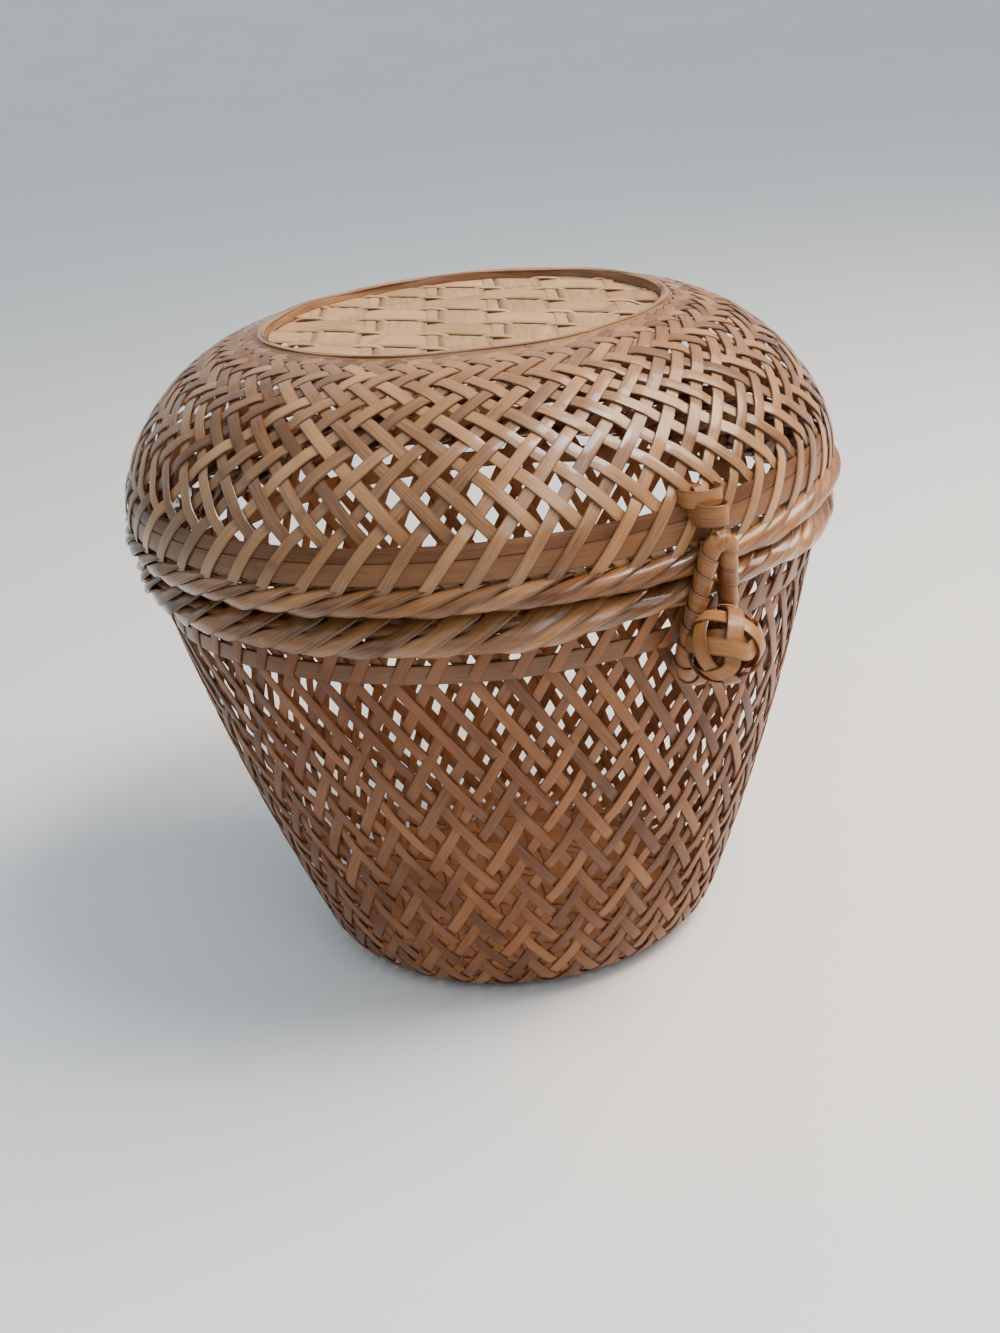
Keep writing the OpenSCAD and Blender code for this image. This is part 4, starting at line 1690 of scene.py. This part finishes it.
@dataclass
class BasketBody(Assembly):
    """The body: wall, hoop, rolled rim and base.

    Attributes:
        rim: The ring inside its rolled rim.
        wall: The middle of its wall.
        bulge: How far the wall swells between its foot and its rim.
        corner_r: Radius of the corner between the base and the wall.
        corner_sweep: Turn round that corner at which the wall's side starts.
        tuck_sweep: Turn round it at which the strips start, under the base.
        corner_steps: Samples round the corner.
        side_steps: Samples up the side.
        base_lap: How far the base mat laps over the corner.
        base_raise: How far the base mat is raised off the floor.
        top_drop: How far below its ring the wall ends.
        hoop_drop: How far the hoop shows below the solid one.
        hoop_tone: Shade of the hoop, from 0 to 1.
        strand: Width of the rolled strips.
        roll_drop: How far the roll's middle lies below its ring.
        crest_in: How far in from the ring the roll's top lies.
        crest_up: How far the top stands above an even roll.
        crest_wide: Part of its width that a rolled strip gains at the top.
    """

    rim: Rim = field(init=False)
    wall: Section = field(init=False)
    bulge: float = 2.6 * MM
    corner_r: float = 16.0 * MM
    corner_sweep: float = math.radians(72.0)
    tuck_sweep: float = math.radians(12.0)
    corner_steps: int = 20
    side_steps: int = 160
    base_lap: float = 3.0 * MM
    base_raise: float = 0.1 * MM
    top_drop: float = 2.0 * MM
    hoop_drop: float = 0.8 * MM
    hoop_tone: float = 0.55
    strand: float = 4.9 * MM
    roll_drop: float = 2.5 * MM
    crest_in: float = 3.0 * MM
    crest_up: float = 3.5 * MM
    crest_wide: float = 0.85

    def __post_init__(self) -> None:
        """Reads the ring and works out the wall."""
        self.rim = Rim.of_node("body_rim_core")
        self.wall = Section(self.wall_line())

    def wall_line(self) -> np.ndarray:
        """The middle of the wall, from the tuck under the base to inside the rolled rim.

        Returns:
            Radius and height of samples.
        """
        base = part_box("base_strips_lower")[1].x - self.base_lap
        inner = self.corner_r - STACK
        sweep = np.linspace(self.tuck_sweep, self.corner_sweep, self.corner_steps)
        corner = np.stack([base + inner * np.sin(sweep), self.corner_r - inner * np.cos(sweep)], axis=1)
        foot = corner[-1]
        top = np.array([self.rim.radius, self.rim.height - self.top_drop])
        along = unit(top - foot)
        swell = (foot + top) / 2.0 + 2.0 * self.bulge * np.array([along[1], -along[0]])
        side = bezier([tuple(foot), tuple(swell), tuple(top)], self.side_steps)
        return np.concatenate([corner[:-1], side])

    def build(self) -> None:
        """Makes the wall, the hoop, the rolled rim and the base."""
        weave = WallWeave(self.wall)
        for lay, node in ((Lay.RIGHT, "wall_strips_right"), (Lay.LEFT, "wall_strips_left")):
            strips = weave.build(lay, self.rng)
            self.dress(strips, f"{node}_plaited", Finish.WALL, Body.BASKET, "wall_strips", node)
        low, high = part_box("body_hoop")
        hoop = Hoop(self.wall, low.z - self.hoop_drop, high.z, self.hoop_tone).build()
        self.dress(hoop, "body_hoop_band", Finish.HOOP, Body.BASKET, "hoops", "body_hoop")
        crest = (self.crest_in, self.crest_up, self.crest_wide)
        roll = RolledRim(self.rim, self.strand, -self.roll_drop, *crest).build(self.rng)
        self.dress(roll, "body_rim_rolled", Finish.RIM, Body.BASKET, "rims", "body_rim_roll")
        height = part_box("base_strips_upper")[1].z / 2.0 + self.base_raise
        mat = Mat(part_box("base_strips_lower")[1].x, height, Face.BELOW)
        for build, name, node in (
            (mat.build_slanted, "base_mat_slanted", "base_strips_lower"),
            (mat.build_straight, "base_mat_straight", "base_strips_upper"),
        ):
            self.dress(build(self.rng), name, Finish.BASE, Body.BASKET, "base_strips", node)


@dataclass
class Lid(Assembly):
    """The lid: dome, hoops, rolled rim, lip and woven top.

    Attributes:
        rim: The ring inside its rolled rim.
        dome: The middle of its dome.
        top_r: Radius of the hoop round the woven top.
        top: Height of that hoop's upper edge.
        foot_out: How far outside its ring the dome starts.
        foot_rise: How far above its ring the dome starts.
        side_out: How far outside the ring the dome's lower curve is drawn.
        side_rise: How far above the ring it is drawn.
        shoulder_r: Radius to which its upper curve is drawn.
        shoulder_drop: How far below the top that lies.
        dome_drop: How far below the hoop's upper edge the dome's outside ends.
        dome_gap: How far outside the hoop the dome ends.
        dome_steps: Samples up the dome.
        hoops: Node, shade, drop of the lower edge and drop of the upper edge of each flat hoop; the upper
            hoop's lower shade is painted shadow from the strips over it.
        strand: Width of the rolled strips.
        roll_rise: How far the roll's middle lies above its ring.
        lip_drop: How far the lip lies below the hoop's upper edge.
    """

    rim: Rim = field(init=False)
    dome: Section = field(init=False)
    top_r: float = field(init=False)
    top: float = field(init=False)
    foot_out: float = 1.0 * MM
    foot_rise: float = 1.5 * MM
    side_out: float = 6.4 * MM
    side_rise: float = 15.5 * MM
    shoulder_r: float = 89.0 * MM
    shoulder_drop: float = 4.5 * MM
    dome_drop: float = 1.0 * MM
    dome_gap: float = 0.6 * MM
    dome_steps: int = 200
    hoops: tuple[tuple[str, float, float, float], ...] = (
        ("lid_hoop_lower", 0.75, 0.9 * MM, 0.0),
        # The upper hoop's lower shade, 0.3, is painted shadow from the strips that lie over it.
        ("lid_hoop_upper", 0.3, 0.35 * MM, 1.6 * MM),
    )
    strand: float = 4.2 * MM
    roll_rise: float = 1.0 * MM
    lip_drop: float = 0.4 * MM

    def __post_init__(self) -> None:
        """Reads the ring and the top, and works out the dome."""
        self.rim = Rim.of_node("lid_rim_core")
        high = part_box("lid_top_ring")[1]
        self.top_r = high.x
        self.top = high.z
        self.dome = Section(self.dome_line())

    def dome_line(self) -> np.ndarray:
        """The middle of the dome, from the rolled rim to the hoop round the top.

        Returns:
            Radius and height of samples.
        """
        top = self.top - self.dome_drop - STACK
        points = [
            (self.rim.radius + self.foot_out, self.rim.height + self.foot_rise),
            (self.rim.radius + self.side_out, self.rim.height + self.side_rise),
            (self.shoulder_r, top - self.shoulder_drop),
            (self.top_r + self.dome_gap, top),
        ]
        return bezier(points, self.dome_steps)

    def build(self) -> None:
        """Makes the dome, the hoops, the rolled rim, the lip and the woven top."""
        weave = DomeWeave(self.dome)
        for lay, node in ((Lay.RIGHT, "lid_strips_right"), (Lay.LEFT, "lid_strips_left")):
            strips = weave.build(lay, self.rng)
            self.dress(strips, f"{node}_plaited", Finish.DOME, Body.LID, "lid_strips", node)
        for node, tone, drop, trim in self.hoops:
            low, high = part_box(node)
            hoop = Hoop(self.dome, low.z - drop, high.z - trim, tone).build()
            self.dress(hoop, f"{node}_band", Finish.HOOP, Body.LID, "hoops", node)
        roll = RolledRim(self.rim, self.strand, self.roll_rise).build(self.rng)
        self.dress(roll, "lid_rim_rolled", Finish.RIM, Body.LID, "rims", "lid_rim_roll")
        lip = TopLip(self.top_r, self.top - self.lip_drop).build()
        self.dress(lip, "lid_top_lip", Finish.DOME, Body.LID, "hoops", "lid_top_ring")
        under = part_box("lid_top_strips_lower")[0].z
        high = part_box("lid_top_strips_upper")[1]
        mat = Mat(high.x, (under + high.z) / 2.0, Face.ABOVE)
        for build, name, node in (
            (mat.build_slanted, "top_mat_slanted", "lid_top_strips_lower"),
            (mat.build_straight, "top_mat_straight", "lid_top_strips_upper"),
        ):
            self.dress(build(self.rng), name, Finish.TOP, Body.LID, "top_strips", node)


@dataclass
class Clasp(Assembly):
    """The clasp: the wrapped loop, its binding and the knot.

    Attributes:
        body: The basket's body, which the knot is tied to.
        lid: The lid, which the loop hangs on.
        pivot: Middle of the cane at the loop's narrow end.
        knot_shift: How far the plaited knot lies off the solid one.
        knot_fall: How far the knot's open end faces down, for each unit that it faces out.
    """

    body: BasketBody
    lid: Lid
    pivot: np.ndarray
    knot_shift: Triple = (-1.5 * MM, 1.5 * MM, 1.2 * MM)
    knot_fall: float = 0.25

    def build(self) -> None:
        """Makes the loop, its binding and the knot."""
        rise = self.lid.rim.height - self.body.rim.height
        reach = self.lid.rim.radius - self.body.rim.radius
        down = unit(np.array([0.0, reach, -rise]))
        out = unit(np.array([0.0, -rise, -reach]))
        loop = ClaspLoop(self.pivot, down, out).build()
        self.dress(loop, "clasp_loop_wrapping", Finish.CLASP, Body.LOOP, "clasp", "loop_wrap")
        bands = Frapping(self.lid.dome, float(self.pivot[2])).build()
        self.dress(bands, "clasp_loop_frapping", Finish.CLASP, Body.LID, "clasp")
        low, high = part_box("clasp_knot")
        centre = np.array((low + high) / 2.0) + np.array(self.knot_shift)
        knot = BallKnot(centre, out + self.knot_fall * down).build()
        self.dress(knot, "clasp_knot_plaited", Finish.CLASP, Body.BASKET, "clasp", "clasp_knot")


def dress_cad_nodes(
    nodes: dict[str, bpy.types.Object], materials: dict[Finish, bpy.types.Material]
) -> None:
    """Gives the nodes that still show their finish.

    Args:
        nodes: The frame's nodes by name.
        materials: The material of each finish.
    """
    for name, node in nodes.items():
        node.data.materials.clear()
        node.data.materials.append(materials[Finish.STRAP if name == "loop_binding" else Finish.CANE])


def main() -> None:
    """Builds the basket in order."""
    logging.basicConfig(level=logging.INFO, format="%(message)s")
    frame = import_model()
    Viewpoint().build()
    Studio().build()
    groups = Groups()
    materials = {finish: finish.value.build(groups) for finish in Finish}
    dress_cad_nodes(frame["nodes"], materials)
    rng = np.random.default_rng(SEED)
    body = BasketBody(materials, rng)
    body.build()
    lid = Lid(materials, rng)
    lid.build()
    swing = next(joint for joint in frame["joints"] if joint["name"] == "loop_swing")
    Clasp(materials, rng, body, lid, np.array(swing["pos_m"])).build()


if __name__ == "__main__":
    main()
